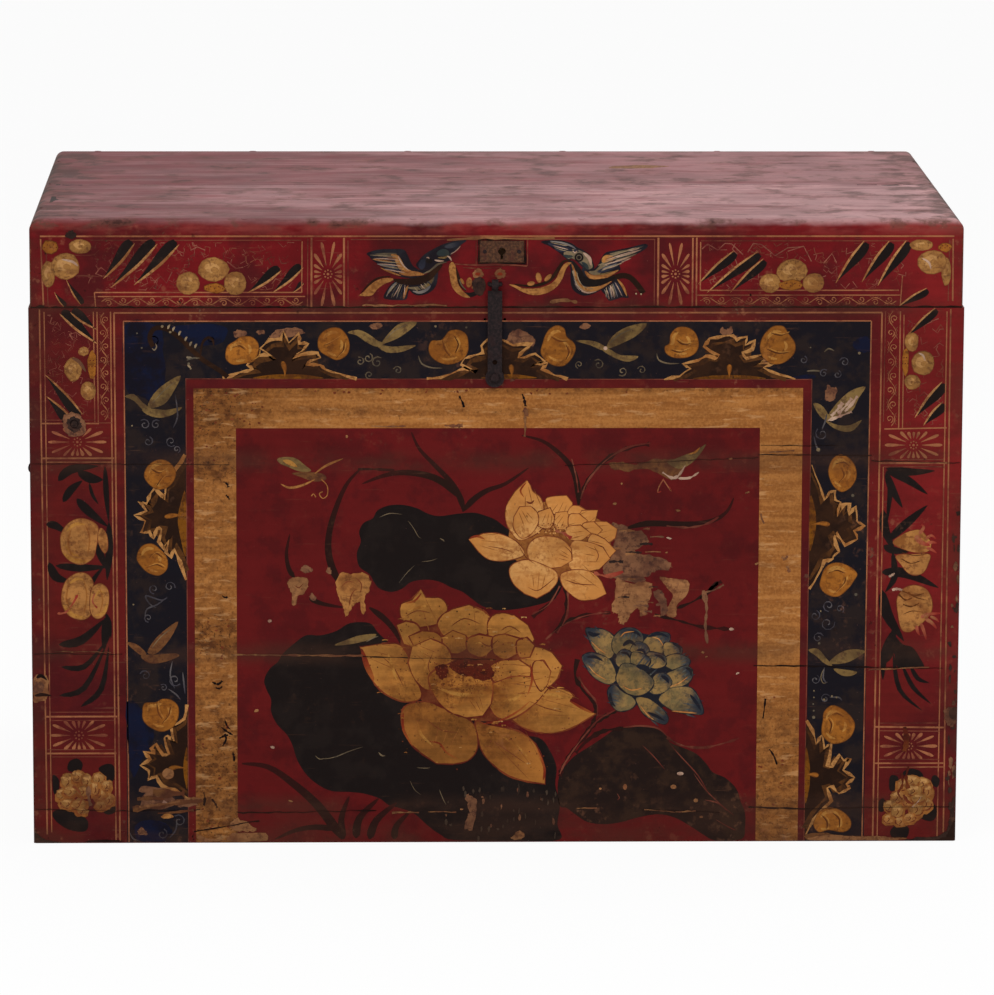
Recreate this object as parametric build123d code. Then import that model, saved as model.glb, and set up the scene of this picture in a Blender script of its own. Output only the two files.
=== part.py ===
from build123d import *
import math
import os

# A painted wooden trunk: edge-jointed board walls with dovetailed corners, a boarded lid on
# two plate hinges, an iron hasp on the front and a drop handle on each side.
# All sizes are in millimetres. The front faces -Y, +Z is up, and the origin is the middle of
# the outside box, at floor level.

# Walls, from the floor up
CHEST_WIDTH = 820
CHEST_DEPTH = 490
BASE_STRIP = 31
LOWER_BOARD = 139
MIDDLE_BOARD = 172
UPPER_BOARD = 138
WALL = 18
WORN_CORNER = 3

# Dovetails at the corners
TAIL_PITCH = 44
TAIL_FLARE = 2.5

# Bamboo pegs between the edge-jointed boards
PEG_RADIUS = 2.5
PEG_PITCH = 190
PEG_COVER = 11
PEG_CLEARANCE = 0.1

# Bottom: boards in a groove of the base strips, over cross battens
BOTTOM_BOARD = 12
BOTTOM_BOARD_COUNT = 3
BOTTOM_BOARD_GAP = 0.4
GROOVE_DEPTH = 6
GROOVE_CLEARANCE = 0.2
BATTEN_THICK = 12
BATTEN_WIDTH = 44
BATTEN_FROM_END = 140

# Lid
LID_RAIL = 60
LID_BOARD = 18
LID_FRONT_BOARD = 232
LID_INSET = 1.5
LID_ROUND = 10
CLEAT_THICK = 14
CLEAT_WIDTH = 46
CLEAT_FROM_END = 200

# Nails
NAIL_RADIUS = 1.3
NAIL_HEAD = 3.2
NAIL_HEAD_THICK = 1.2
NAIL_BITE = 24
NAIL_PITCH = 147
NAIL_CORNER = 40.5
NAIL_COVER = 3
NAIL_CLEARANCE = 0.05

# Plate hinges on the back
HINGE_FROM_END = 170
HINGE_WIDTH = 64
LEAF_THICK = 2
LEAF_DROP = 62
LEAF_RISE = 44
HINGE_PIN = 2.3
PIN_CLEARANCE = 0.15
PIN_HEAD = 1.3
KNUCKLE_GAP = 0.4
HINGE_STANDOFF = 0.5
HINGE_NAIL_EDGE = 11
HINGE_NAIL_HEAD = 3.6
HINGE_NAIL_DOME = 1.6

# Hasp and its staple
HASP_X = -2
HASP_EYE_ABOVE_SEAM = 21.5
HASP_THICK = 2.6
HASP_WIDTH = 12.6
HASP_EYE_WIDTH = 5.6
HASP_SHOULDER = 1.3
HASP_STANDOFF = 0.6
HASP_TURN_CLEARANCE = 0.35
HASP_HOLE_DROP = 69
HASP_HOLE = 2.2
HASP_END_DROP = 83
HASP_END_RADIUS = 8.3
HASP_KNOB = 4.4
HASP_KNOB_HEIGHT = 3
STAPLE_WIRE = 1.7
STAPLE_BEND = 2.4
STAPLE_SIDE_GAP = 0.4
STAPLE_COVER = 4

# Lock plate let into the front of the lid
PLATE_X = 4
PLATE_WIDTH = 38.6
PLATE_HEIGHT = 19
PLATE_THICK = 1.6
PLATE_SUNK = 0.5
PLATE_DROP = 0.8
PLATE_CLEARANCE = 0.4
KEYHOLE_RADIUS = 3.4
KEYHOLE_SLOT = 2.4
KEYHOLE_SLOT_DROP = 7
KEYHOLE_DEPTH = 12
PLATE_NAIL_SPACING = 30
PLATE_NAIL_RADIUS = 0.8
PLATE_NAIL_HEAD = 1.7
PLATE_NAIL_DOME = 0.4
PLATE_NAIL_BITE = 9

# Nail holes left in the front by a plate that is gone
OLD_HOLES_BELOW_SEAM = 19
OLD_HOLE_SPACING_X = 17.4
OLD_HOLE_SPACING_Z = 18
OLD_HOLE_RADIUS = 1.3
OLD_HOLE_DEPTH = 9

# Drop handles on the sides
HANDLE_BELOW_SEAM = 175
HANDLE_SPAN = 112
BAIL_WIRE = 3
BAIL_STUB = 7
BAIL_SHOULDER = 12
BAIL_TAPER = 6
BAIL_DROP = 46
BAIL_SHOULDER_BEND = 7
BAIL_GRIP_BEND = 14
EYE_CLEARANCE = 0.35
EYE_WALL = 2.4
EYE_THICK = 5
SHANK_RADIUS = 2.2
SHANK_COVER = 3
ROSE_RADIUS = 11
ROSE_THICK = 0.8
ROSE_CLEARANCE = 0.3

# Heights worked out from the boards
SEAM = BASE_STRIP + LOWER_BOARD + MIDDLE_BOARD + UPPER_BOARD
RAIL_TOP = SEAM + LID_RAIL
LID_TOP = RAIL_TOP + LID_BOARD

# Hardware radii and how far the hardware stands out of the front and back
HASP_EYE_BORE = STAPLE_WIRE + HASP_TURN_CLEARANCE
HASP_EYE_RADIUS = HASP_EYE_BORE + HASP_THICK
HINGE_BORE = HINGE_PIN + PIN_CLEARANCE
HINGE_BARREL = HINGE_BORE + LEAF_THICK
FRONT_PROUD = HASP_STANDOFF + 2 * HASP_EYE_RADIUS
BACK_PROUD = HINGE_STANDOFF + 2 * HINGE_BARREL

# Faces of the chest and the lid
FRONT = -(CHEST_DEPTH + FRONT_PROUD + BACK_PROUD) / 2 + FRONT_PROUD
BACK = FRONT + CHEST_DEPTH
SIDE = CHEST_WIDTH / 2
LID_FRONT = FRONT + LID_INSET
LID_SIDE = SIDE - LID_INSET
MIDDLE_Y = (FRONT + BACK) / 2

# Pivots
HINGE_Y = BACK + HINGE_STANDOFF + HINGE_BARREL
HASP_Y = FRONT - HASP_STANDOFF - HASP_EYE_RADIUS
HASP_Z = SEAM + HASP_EYE_ABOVE_SEAM
EYE_BORE = BAIL_WIRE + EYE_CLEARANCE
EYE_RADIUS = EYE_BORE + EYE_WALL
BAIL_X = SIDE + EYE_RADIUS
BAIL_Z = SEAM - HANDLE_BELOW_SEAM


def block(x0, x1, y0, y1, z0, z1):
    """A box between two limits on each axis."""
    size = Box(x1 - x0, y1 - y0, z1 - z0)
    return Pos((x0 + x1) / 2, (y0 + y1) / 2, (z0 + z1) / 2) * size


def rod(start, direction, radius, length):
    """A cylinder that starts at a point and runs along a direction."""
    shaft = Cylinder(radius, length, align=(Align.CENTER, Align.CENTER, Align.MIN))
    return Plane(origin=start, z_dir=direction) * shaft


def bent_rod(points, radii, wire):
    """A round rod along straight runs that are joined by bends."""
    path = FilletPolyline(*points, radius=radii)
    section = Plane(origin=path @ 0, z_dir=path % 0) * Circle(wire)
    return sweep(section, path=path)


def evenly(first, last, pitch):
    """Places from first to last, as close to the pitch as whole steps allow."""
    steps = max(1, round((last - first) / pitch))
    return [first + (last - first) * i / steps for i in range(steps + 1)]


def flush_nail(point, direction, length, grow=0):
    """A nail with its flat head level with the wood, or with grow, the hole that it fills."""
    head = rod(point, direction, NAIL_HEAD + grow, NAIL_HEAD_THICK + grow)
    return head + rod(point, direction, NAIL_RADIUS + grow, length + grow)


def dome_nail(point, direction, length, shank, head, dome):
    """A nail whose rounded head stands on the surface at the point."""
    cap = Cylinder(head, dome, align=(Align.CENTER, Align.CENTER, Align.MAX))
    cap = fillet(cap.edges().group_by(Axis.Z)[0], 0.8 * dome)
    return Plane(origin=point, z_dir=direction) * cap + rod(point, direction, shank, length)


def corner_tails(side, y0, y1, z0, z1, thick):
    """The dovetails of the front and back boards, at both ends of a course of boards."""
    count = max(1, round((z1 - z0) / TAIL_PITCH))
    pitch = (z1 - z0) / count
    tails = {}
    for wall, y_face in (("front", y0), ("back", y1 - thick)):
        solids = []
        for end in (-1, 1):
            for i in range(count):
                middle = z0 + pitch * (i + 0.5)
                root = pitch / 4
                tip = root + TAIL_FLARE
                outline = Plane(origin=(0, y_face, 0), x_dir=(1, 0, 0), z_dir=(0, -1, 0)) * Polygon(
                    (end * (side - thick), middle - root),
                    (end * side, middle - tip),
                    (end * side, middle + tip),
                    (end * (side - thick), middle + root),
                    align=None,
                )
                solids.append(extrude(outline, amount=thick, dir=(0, 1, 0)))
        tails[wall] = solids
    return tails


def course(side, y0, y1, z0, z1, thick):
    """Four boards of one height around the box, with their corner joints cut."""
    tails = corner_tails(side, y0, y1, z0, z1, thick)
    inner = side - thick
    boards = {
        "front": block(-inner, inner, y0, y0 + thick, z0, z1) + tails["front"],
        "back": block(-inner, inner, y1 - thick, y1, z0, z1) + tails["back"],
        "left": block(-side, -inner, y0, y1, z0, z1) - tails["front"] - tails["back"],
        "right": block(inner, side, y0, y1, z0, z1) - tails["front"] - tails["back"],
    }
    worn = block(-side, side, y0, y1, z0, z1)
    worn = fillet(worn.edges().filter_by(Axis.Z), WORN_CORNER)
    return {wall: board & worn for wall, board in boards.items()}


def wall_pegs(seam, grow=0):
    """Pegs across one seam between two courses, for each wall."""
    depth = BASE_STRIP - PEG_COVER + grow
    radius = PEG_RADIUS + grow
    margin = 3 * WALL
    mid = WALL / 2
    pegs = {"front": [], "back": [], "left": [], "right": []}
    for x in evenly(-SIDE + margin, SIDE - margin, PEG_PITCH):
        pegs["front"].append(rod((x, FRONT + mid, seam - depth), (0, 0, 1), radius, 2 * depth))
        pegs["back"].append(rod((x, BACK - mid, seam - depth), (0, 0, 1), radius, 2 * depth))
    for y in evenly(FRONT + margin, BACK - margin, PEG_PITCH):
        pegs["left"].append(rod((-SIDE + mid, y, seam - depth), (0, 0, 1), radius, 2 * depth))
        pegs["right"].append(rod((SIDE - mid, y, seam - depth), (0, 0, 1), radius, 2 * depth))
    return pegs


def lid_pegs(grow=0):
    """Pegs across the seam between the two top boards of the lid."""
    depth = BASE_STRIP - PEG_COVER + grow
    seam_y = LID_FRONT + LID_FRONT_BOARD
    height = RAIL_TOP + LID_BOARD / 2
    places = evenly(-SIDE + 3 * WALL, SIDE - 3 * WALL, PEG_PITCH)
    return [rod((x, seam_y - depth, height), (0, 1, 0), PEG_RADIUS + grow, 2 * depth) for x in places]


def lid_nails(grow=0):
    """Nails down through the top boards into the four rails."""
    length = LID_BOARD + NAIL_BITE
    rail_mid = WALL / 2
    places = []
    for x in evenly(-LID_SIDE + NAIL_CORNER, LID_SIDE - NAIL_CORNER, NAIL_PITCH):
        places += [(x, LID_FRONT + rail_mid), (x, BACK - rail_mid)]
    for y in evenly(LID_FRONT + 2 * NAIL_CORNER, BACK - 2 * NAIL_CORNER, NAIL_PITCH):
        places += [(-LID_SIDE + rail_mid, y), (LID_SIDE - rail_mid, y)]
    return [flush_nail((x, y, LID_TOP), (0, 0, -1), length, grow) for x, y in places]


def batten_places():
    """Middles of the cross battens under the bottom boards."""
    away = SIDE - BATTEN_FROM_END
    return {"left": -away, "middle": 0, "right": away}


def cleat_places():
    """Middles of the cleats under the lid's top boards."""
    away = SIDE - CLEAT_FROM_END
    return {"left": -away, "right": away}


def hinge_places():
    """Middles of the two hinges on the back."""
    away = SIDE - HINGE_FROM_END
    return {"left": -away, "right": away}


def batten_nails(grow=0):
    """Nails up through the battens into the middle of each bottom board."""
    length = BATTEN_THICK + BOTTOM_BOARD - NAIL_COVER
    return [
        flush_nail((x, (y0 + y1) / 2, 0), (0, 0, 1), length, grow)
        for x in batten_places().values()
        for y0, y1 in bottom_board_limits()
    ]


def cleat_nails(grow=0):
    """Nails up through the cleats, two into each top board."""
    length = CLEAT_THICK + LID_BOARD - NAIL_COVER
    seam_y = LID_FRONT + LID_FRONT_BOARD
    quarter = LID_FRONT_BOARD / 4
    places = (seam_y - 3 * quarter, seam_y - quarter, seam_y + quarter, BACK - quarter)
    return [
        flush_nail((x, y, RAIL_TOP - CLEAT_THICK), (0, 0, 1), length, grow)
        for x in cleat_places().values()
        for y in places
    ]


def bottom_board_limits():
    """Front and back limits of each bottom board."""
    reach = GROOVE_DEPTH - GROOVE_CLEARANCE
    first = FRONT + WALL - reach
    total = CHEST_DEPTH - 2 * WALL + 2 * reach
    width = (total + BOTTOM_BOARD_GAP) / BOTTOM_BOARD_COUNT
    return [
        (first + i * width, first + (i + 1) * width - BOTTOM_BOARD_GAP)
        for i in range(BOTTOM_BOARD_COUNT)
    ]


def keyhole(depth):
    """The keyhole as a solid, a round eye over a narrow slot, cut from the lid's front."""
    y = LID_FRONT
    z = plate_middle()
    eye = rod((PLATE_X, y, z), (0, 1, 0), KEYHOLE_RADIUS, depth)
    half = KEYHOLE_SLOT / 2
    return eye + block(PLATE_X - half, PLATE_X + half, y, y + depth, z - KEYHOLE_SLOT_DROP, z)


def plate_middle():
    """Height of the lock plate's middle."""
    return RAIL_TOP - PLATE_DROP - PLATE_HEIGHT / 2


def plate_nail_places():
    """Middles of the lock plate's nail heads, on its face."""
    y = LID_FRONT + PLATE_SUNK
    return [(PLATE_X + end * PLATE_NAIL_SPACING / 2, y, plate_middle()) for end in (-1, 1)]


def staple(wire):
    """The staple that carries the hasp, driven into the lid's front rail."""
    half = HASP_EYE_WIDTH / 2 + STAPLE_SIDE_GAP + STAPLE_WIRE
    y_tip = LID_FRONT + WALL - STAPLE_COVER
    points = [
        (HASP_X - half, y_tip, HASP_Z),
        (HASP_X - half, HASP_Y, HASP_Z),
        (HASP_X + half, HASP_Y, HASP_Z),
        (HASP_X + half, y_tip, HASP_Z),
    ]
    return bent_rod(points, [STAPLE_BEND, STAPLE_BEND], wire)


def old_nail_holes():
    """Four small holes in the front, around the hasp."""
    z_middle = SEAM - OLD_HOLES_BELOW_SEAM
    holes = []
    for x_end in (-1, 1):
        for z_end in (-1, 1):
            x = HASP_X + x_end * OLD_HOLE_SPACING_X / 2
            z = z_middle + z_end * OLD_HOLE_SPACING_Z / 2
            holes.append(rod((x, FRONT, z), (0, 1, 0), OLD_HOLE_RADIUS, OLD_HOLE_DEPTH))
    return holes


def hinge_nail_places(hinge_x, leaf):
    """Where the nails go through one hinge leaf, on its outer face."""
    edge = HINGE_WIDTH / 2 - HINGE_NAIL_EDGE
    y = BACK + LEAF_THICK
    if leaf == "lower":
        heights = (SEAM - LEAF_DROP + HINGE_NAIL_EDGE, SEAM - HINGE_BARREL - HINGE_NAIL_EDGE)
    else:
        heights = (SEAM + HINGE_BARREL + HINGE_NAIL_EDGE, SEAM + LEAF_RISE - HINGE_NAIL_EDGE)
    return [(hinge_x + end * edge, y, z) for end in (-1, 1) for z in heights]


def hinge_nail_holes(leaf):
    """Holes for the hinge nails, through the leaf and into the board behind."""
    length = LEAF_THICK + WALL - NAIL_COVER + NAIL_CLEARANCE
    return [
        rod(place, (0, -1, 0), NAIL_RADIUS + NAIL_CLEARANCE, length)
        for hinge_x in hinge_places().values()
        for place in hinge_nail_places(hinge_x, leaf)
    ]


def hinge_nails(leaf):
    """Round-headed nails that hold both leaves of one kind."""
    length = LEAF_THICK + WALL - NAIL_COVER
    return [
        dome_nail(place, (0, -1, 0), length, NAIL_RADIUS, HINGE_NAIL_HEAD, HINGE_NAIL_DOME)
        for hinge_x in hinge_places().values()
        for place in hinge_nail_places(hinge_x, leaf)
    ]


def handle_eye_places(end):
    """Where a side's two handle eyes enter the wall."""
    return [(end * SIDE, MIDDLE_Y + side * HANDLE_SPAN / 2, BAIL_Z) for side in (-1, 1)]


def walls():
    """The sixteen wall boards, with every groove and hole cut."""
    edges = [0, BASE_STRIP, BASE_STRIP + LOWER_BOARD, SEAM - UPPER_BOARD, SEAM]
    names = ("base", "lower", "middle", "upper")
    boards = {}
    for name, z0, z1 in zip(names, edges, edges[1:]):
        for wall, board in course(SIDE, FRONT, BACK, z0, z1, WALL).items():
            boards[wall, name] = board
    for index in range(1, len(names)):
        holes = wall_pegs(edges[index], PEG_CLEARANCE)
        for wall in ("front", "back", "left", "right"):
            boards[wall, names[index - 1]] -= holes[wall]
            boards[wall, names[index]] -= holes[wall]
    inner = SIDE - WALL + GROOVE_DEPTH
    y0 = FRONT + WALL - GROOVE_DEPTH
    y1 = BACK - WALL + GROOVE_DEPTH
    z1 = BATTEN_THICK + BOTTOM_BOARD + GROOVE_CLEARANCE
    groove = block(-inner, inner, y0, y1, BATTEN_THICK, z1)
    for wall in ("front", "back", "left", "right"):
        boards[wall, "base"] -= groove
    boards["front", "upper"] -= old_nail_holes()
    boards["back", "upper"] -= hinge_nail_holes("lower")
    for wall, end in (("left", -1), ("right", 1)):
        shanks = [
            rod(place, (-end, 0, 0), SHANK_RADIUS + NAIL_CLEARANCE, WALL - SHANK_COVER)
            for place in handle_eye_places(end)
        ]
        boards[wall, "middle"] -= shanks
    return boards


def bottom_boards():
    """Boards that lie in the groove of the base strips."""
    reach = SIDE - WALL + GROOVE_DEPTH - GROOVE_CLEARANCE
    nails = batten_nails(NAIL_CLEARANCE)
    return [
        block(-reach, reach, y0, y1, BATTEN_THICK, BATTEN_THICK + BOTTOM_BOARD) - nails
        for y0, y1 in bottom_board_limits()
    ]


def batten(x):
    """A batten across the underside, between the base strips."""
    half = BATTEN_WIDTH / 2
    nails = batten_nails(NAIL_CLEARANCE)
    return block(x - half, x + half, FRONT + WALL, BACK - WALL, 0, BATTEN_THICK) - nails


def lid_rails():
    """The dovetailed frame of the lid."""
    rails = course(LID_SIDE, LID_FRONT, BACK, SEAM, RAIL_TOP, WALL)
    nails = lid_nails(NAIL_CLEARANCE)
    rails = {wall: rail - nails for wall, rail in rails.items()}
    reach = PLATE_CLEARANCE
    recess = block(
        PLATE_X - PLATE_WIDTH / 2 - reach,
        PLATE_X + PLATE_WIDTH / 2 + reach,
        LID_FRONT,
        LID_FRONT + PLATE_SUNK + PLATE_THICK,
        plate_middle() - PLATE_HEIGHT / 2 - reach,
        plate_middle() + PLATE_HEIGHT / 2 + reach,
    )
    nail_holes = [
        rod(place, (0, 1, 0), PLATE_NAIL_RADIUS + NAIL_CLEARANCE, PLATE_THICK + PLATE_NAIL_BITE)
        for place in plate_nail_places()
    ]
    rails["front"] = rails["front"] - recess - keyhole(KEYHOLE_DEPTH) - nail_holes
    rails["front"] -= staple(STAPLE_WIRE + NAIL_CLEARANCE)
    rails["back"] -= hinge_nail_holes("upper")
    return rails


def lid_boards():
    """The two top boards, rounded over on the outside and pegged edge to edge."""
    whole = block(-LID_SIDE, LID_SIDE, LID_FRONT, BACK, RAIL_TOP, LID_TOP)
    whole = fillet(whole.edges().group_by(Axis.Z)[-1], LID_ROUND)
    corners = block(-LID_SIDE, LID_SIDE, LID_FRONT, BACK, RAIL_TOP, LID_TOP)
    whole = whole & fillet(corners.edges().filter_by(Axis.Z), WORN_CORNER)
    whole = whole - lid_nails(NAIL_CLEARANCE) - cleat_nails(NAIL_CLEARANCE) - lid_pegs(PEG_CLEARANCE)
    seam_y = LID_FRONT + LID_FRONT_BOARD
    front = whole & block(-SIDE, SIDE, FRONT, seam_y, RAIL_TOP, LID_TOP)
    back = whole & block(-SIDE, SIDE, seam_y, BACK, RAIL_TOP, LID_TOP)
    return {"front": front, "back": back}


def cleat(x):
    """A cleat across the underside of the lid's top boards."""
    half = CLEAT_WIDTH / 2
    y0 = LID_FRONT + WALL
    y1 = BACK - WALL
    return block(x - half, x + half, y0, y1, RAIL_TOP - CLEAT_THICK, RAIL_TOP) - cleat_nails(
        NAIL_CLEARANCE
    )


def hinge_leaf(hinge_x, leaf):
    """One leaf of a plate hinge with its knuckles: two on the lower leaf, one on the upper."""
    third = HINGE_WIDTH / 3
    left = hinge_x - HINGE_WIDTH / 2
    if leaf == "lower":
        bottom = SEAM - LEAF_DROP
        top = SEAM - HINGE_BARREL - KNUCKLE_GAP
        knuckles = ((left, left + third - KNUCKLE_GAP), (left + 2 * third + KNUCKLE_GAP, left + HINGE_WIDTH))
        web = (top, SEAM)
    else:
        bottom = SEAM + HINGE_BARREL + KNUCKLE_GAP
        top = SEAM + LEAF_RISE
        knuckles = ((left + third, left + 2 * third),)
        web = (SEAM, bottom)
    solid = block(left, left + HINGE_WIDTH, BACK, BACK + LEAF_THICK, bottom, top)
    for x0, x1 in knuckles:
        solid += block(x0, x1, BACK, BACK + LEAF_THICK, *web)
        solid += rod((x0, HINGE_Y, SEAM), (1, 0, 0), HINGE_BARREL, x1 - x0)
    solid -= rod((left, HINGE_Y, SEAM), (1, 0, 0), HINGE_BORE, HINGE_WIDTH)
    return solid - hinge_nail_holes(leaf)


def hinge_pin(hinge_x):
    """A pin through the knuckles, hammered over at both ends."""
    start = hinge_x - HINGE_WIDTH / 2 - PIN_HEAD - KNUCKLE_GAP / 2
    length = HINGE_WIDTH + 2 * PIN_HEAD + KNUCKLE_GAP
    pin = rod((start, HINGE_Y, SEAM), (1, 0, 0), HINGE_PIN, length)
    head = (HINGE_PIN + HINGE_BARREL) / 2
    for x in (start, start + length - PIN_HEAD):
        pin += rod((x, HINGE_Y, SEAM), (1, 0, 0), head, PIN_HEAD)
    return pin


def lock_plate():
    """A small iron plate let into the lid's front rail, with a keyhole."""
    half = PLATE_WIDTH / 2
    z = plate_middle()
    y = LID_FRONT + PLATE_SUNK
    plate = block(
        PLATE_X - half, PLATE_X + half, y, y + PLATE_THICK, z - PLATE_HEIGHT / 2, z + PLATE_HEIGHT / 2
    )
    for place in plate_nail_places():
        plate -= rod(place, (0, 1, 0), PLATE_NAIL_RADIUS + NAIL_CLEARANCE, PLATE_THICK)
    return plate - keyhole(KEYHOLE_DEPTH)


def plate_nails():
    """Two small nails that hold the lock plate."""
    length = PLATE_THICK + PLATE_NAIL_BITE
    return [
        dome_nail(place, (0, 1, 0), length, PLATE_NAIL_RADIUS, PLATE_NAIL_HEAD, PLATE_NAIL_DOME)
        for place in plate_nail_places()
    ]


def hasp():
    """An iron strap that hangs from its staple, with a hole and a knob near its round end."""
    front = FRONT - HASP_STANDOFF - HASP_THICK
    back = FRONT - HASP_STANDOFF
    neck = HASP_EYE_WIDTH / 2
    half = HASP_WIDTH / 2
    shoulder = HASP_Z - HASP_EYE_RADIUS - HASP_SHOULDER
    end_z = HASP_Z - HASP_END_DROP
    strap = rod((HASP_X - neck, HASP_Y, HASP_Z), (1, 0, 0), HASP_EYE_RADIUS, HASP_EYE_WIDTH)
    strap += block(HASP_X - neck, HASP_X + neck, front, back, shoulder, HASP_Z)
    strap += block(HASP_X - half, HASP_X + half, front, back, end_z, shoulder)
    strap += rod((HASP_X, front, end_z), (0, 1, 0), HASP_END_RADIUS, HASP_THICK)
    strap -= rod((HASP_X - neck, HASP_Y, HASP_Z), (1, 0, 0), HASP_EYE_BORE, HASP_EYE_WIDTH)
    strap -= rod((HASP_X, front, HASP_Z - HASP_HOLE_DROP), (0, 1, 0), HASP_HOLE, HASP_THICK)
    knob = Cylinder(HASP_KNOB, HASP_KNOB_HEIGHT, align=(Align.CENTER, Align.CENTER, Align.MIN))
    knob = fillet(knob.edges().group_by(Axis.Z)[-1], 0.8 * HASP_KNOB_HEIGHT)
    return strap + Plane(origin=(HASP_X, front, end_z), z_dir=(0, -1, 0)) * knob


def bail(end):
    """A drop handle of round rod, with its ends turned out through the eyes."""
    half = HANDLE_SPAN / 2
    x = end * BAIL_X
    shoulder = half - BAIL_SHOULDER
    grip = shoulder - BAIL_TAPER
    low = BAIL_Z - BAIL_DROP
    points = [
        (x, MIDDLE_Y - half - BAIL_STUB, BAIL_Z),
        (x, MIDDLE_Y - shoulder, BAIL_Z),
        (x, MIDDLE_Y - grip, low),
        (x, MIDDLE_Y + grip, low),
        (x, MIDDLE_Y + shoulder, BAIL_Z),
        (x, MIDDLE_Y + half + BAIL_STUB, BAIL_Z),
    ]
    bends = [BAIL_SHOULDER_BEND, BAIL_GRIP_BEND, BAIL_GRIP_BEND, BAIL_SHOULDER_BEND]
    return bent_rod(points, bends, BAIL_WIRE)


def handle_eyes(end):
    """Two forged eyes driven into a side, in which the handle swings."""
    eyes = []
    for x, y, z in handle_eye_places(end):
        ring = rod((end * BAIL_X, y - EYE_THICK / 2, z), (0, 1, 0), EYE_RADIUS, EYE_THICK)
        root = x + end * EYE_WALL / 2
        ring += rod((root, y, z), (-end, 0, 0), SHANK_RADIUS, EYE_WALL / 2 + WALL - SHANK_COVER)
        eyes.append(ring - rod((end * BAIL_X, y - EYE_THICK / 2, z), (0, 1, 0), EYE_BORE, EYE_THICK))
    return eyes


def handle_roses(end):
    """Thin round plates around the eyes."""
    sunk = EYE_RADIUS - ROSE_THICK
    chord = math.sqrt(EYE_RADIUS**2 - sunk**2)
    hole = math.hypot(chord, EYE_THICK / 2) + ROSE_CLEARANCE
    roses = []
    for place in handle_eye_places(end):
        rose = rod(place, (end, 0, 0), ROSE_RADIUS, ROSE_THICK)
        roses.append(rose - rod(place, (end, 0, 0), hole, ROSE_THICK))
    return roses


def group(solids):
    """Several separate solids as one sub-part."""
    return Compound(children=[solid for shape in solids for solid in shape.solids()])


def chest_parts():
    """Every sub-part by its name."""
    parts = {f"{wall}_{name}_board": board for (wall, name), board in walls().items()}
    for name, board in zip(("front", "middle", "back"), bottom_boards()):
        parts[f"bottom_board_{name}"] = board
    for name, x in batten_places().items():
        parts[f"bottom_batten_{name}"] = batten(x)
    parts["bottom_nails"] = group(batten_nails())
    seams = (BASE_STRIP, BASE_STRIP + LOWER_BOARD, SEAM - UPPER_BOARD)
    parts["wall_pegs"] = group(peg for seam in seams for pegs in wall_pegs(seam).values() for peg in pegs)
    for side, end in (("left", -1), ("right", 1)):
        hinge_x = hinge_places()[side]
        parts[f"{side}_hinge_lower_leaf"] = hinge_leaf(hinge_x, "lower")
        parts[f"{side}_hinge_pin"] = hinge_pin(hinge_x)
        parts[f"{side}_handle_eyes"] = group(handle_eyes(end))
        parts[f"{side}_handle_roses"] = group(handle_roses(end))
    parts["lower_hinge_nails"] = group(hinge_nails("lower"))
    return parts


def lid_parts():
    """The lid with its hardware."""
    parts = {f"lid_{wall}_rail": rail for wall, rail in lid_rails().items()}
    parts.update({f"lid_top_{name}_board": board for name, board in lid_boards().items()})
    for name, x in cleat_places().items():
        parts[f"lid_{name}_cleat"] = cleat(x)
    parts["lid_nails"] = group(lid_nails())
    parts["lid_cleat_nails"] = group(cleat_nails())
    parts["lid_pegs"] = group(lid_pegs())
    for side, hinge_x in hinge_places().items():
        parts[f"{side}_hinge_upper_leaf"] = hinge_leaf(hinge_x, "upper")
    parts["upper_hinge_nails"] = group(hinge_nails("upper"))
    parts["lock_plate"] = lock_plate()
    parts["lock_plate_nails"] = group(plate_nails())
    parts["hasp_staple"] = staple(STAPLE_WIRE)
    return parts


def swinging_parts():
    """The pieces that swing by themselves."""
    return {"hasp": hasp(), "left_handle": bail(-1), "right_handle": bail(1)}


os.makedirs("parts", exist_ok=True)
for node, shape in {**chest_parts(), **lid_parts(), **swinging_parts()}.items():
    export_step(shape, f"parts/{node}.step")
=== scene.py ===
import math
import random

import bpy
from mathutils import Matrix, Vector


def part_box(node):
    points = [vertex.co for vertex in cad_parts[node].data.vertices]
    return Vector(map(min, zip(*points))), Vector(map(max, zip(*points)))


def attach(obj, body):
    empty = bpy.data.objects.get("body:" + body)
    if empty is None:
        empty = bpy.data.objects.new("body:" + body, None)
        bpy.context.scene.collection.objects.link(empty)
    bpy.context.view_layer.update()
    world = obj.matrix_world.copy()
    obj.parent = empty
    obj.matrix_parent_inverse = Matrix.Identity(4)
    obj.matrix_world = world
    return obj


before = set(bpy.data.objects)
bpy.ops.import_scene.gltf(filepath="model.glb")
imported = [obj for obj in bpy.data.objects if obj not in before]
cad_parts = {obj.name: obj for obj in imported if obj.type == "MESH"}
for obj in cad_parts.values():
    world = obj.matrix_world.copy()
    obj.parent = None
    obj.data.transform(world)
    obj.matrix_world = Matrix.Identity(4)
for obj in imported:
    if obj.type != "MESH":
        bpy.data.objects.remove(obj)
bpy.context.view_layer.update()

# A painted wooden trunk. Places on its faces are in millimetres, x to the right and z up on the
# front, and every painted shape is a thin film of paint on a face.
MM = 0.001

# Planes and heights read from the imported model
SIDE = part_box("right_upper_board")[1].x / MM
LID_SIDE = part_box("lid_right_rail")[1].x / MM
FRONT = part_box("front_upper_board")[0].y
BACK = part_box("back_upper_board")[1].y
LID_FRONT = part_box("lid_front_rail")[0].y
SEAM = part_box("front_upper_board")[1].z / MM
RAIL_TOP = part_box("lid_front_rail")[1].z / MM
LID_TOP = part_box("lid_top_front_board")[1].z / MM
BOARD_JOINTS = [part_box(f"front_{name}_board")[1].z / MM for name in ("base", "lower", "middle")]
TOP_JOINT = (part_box("lid_top_front_board")[1].y - FRONT) / MM

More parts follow.
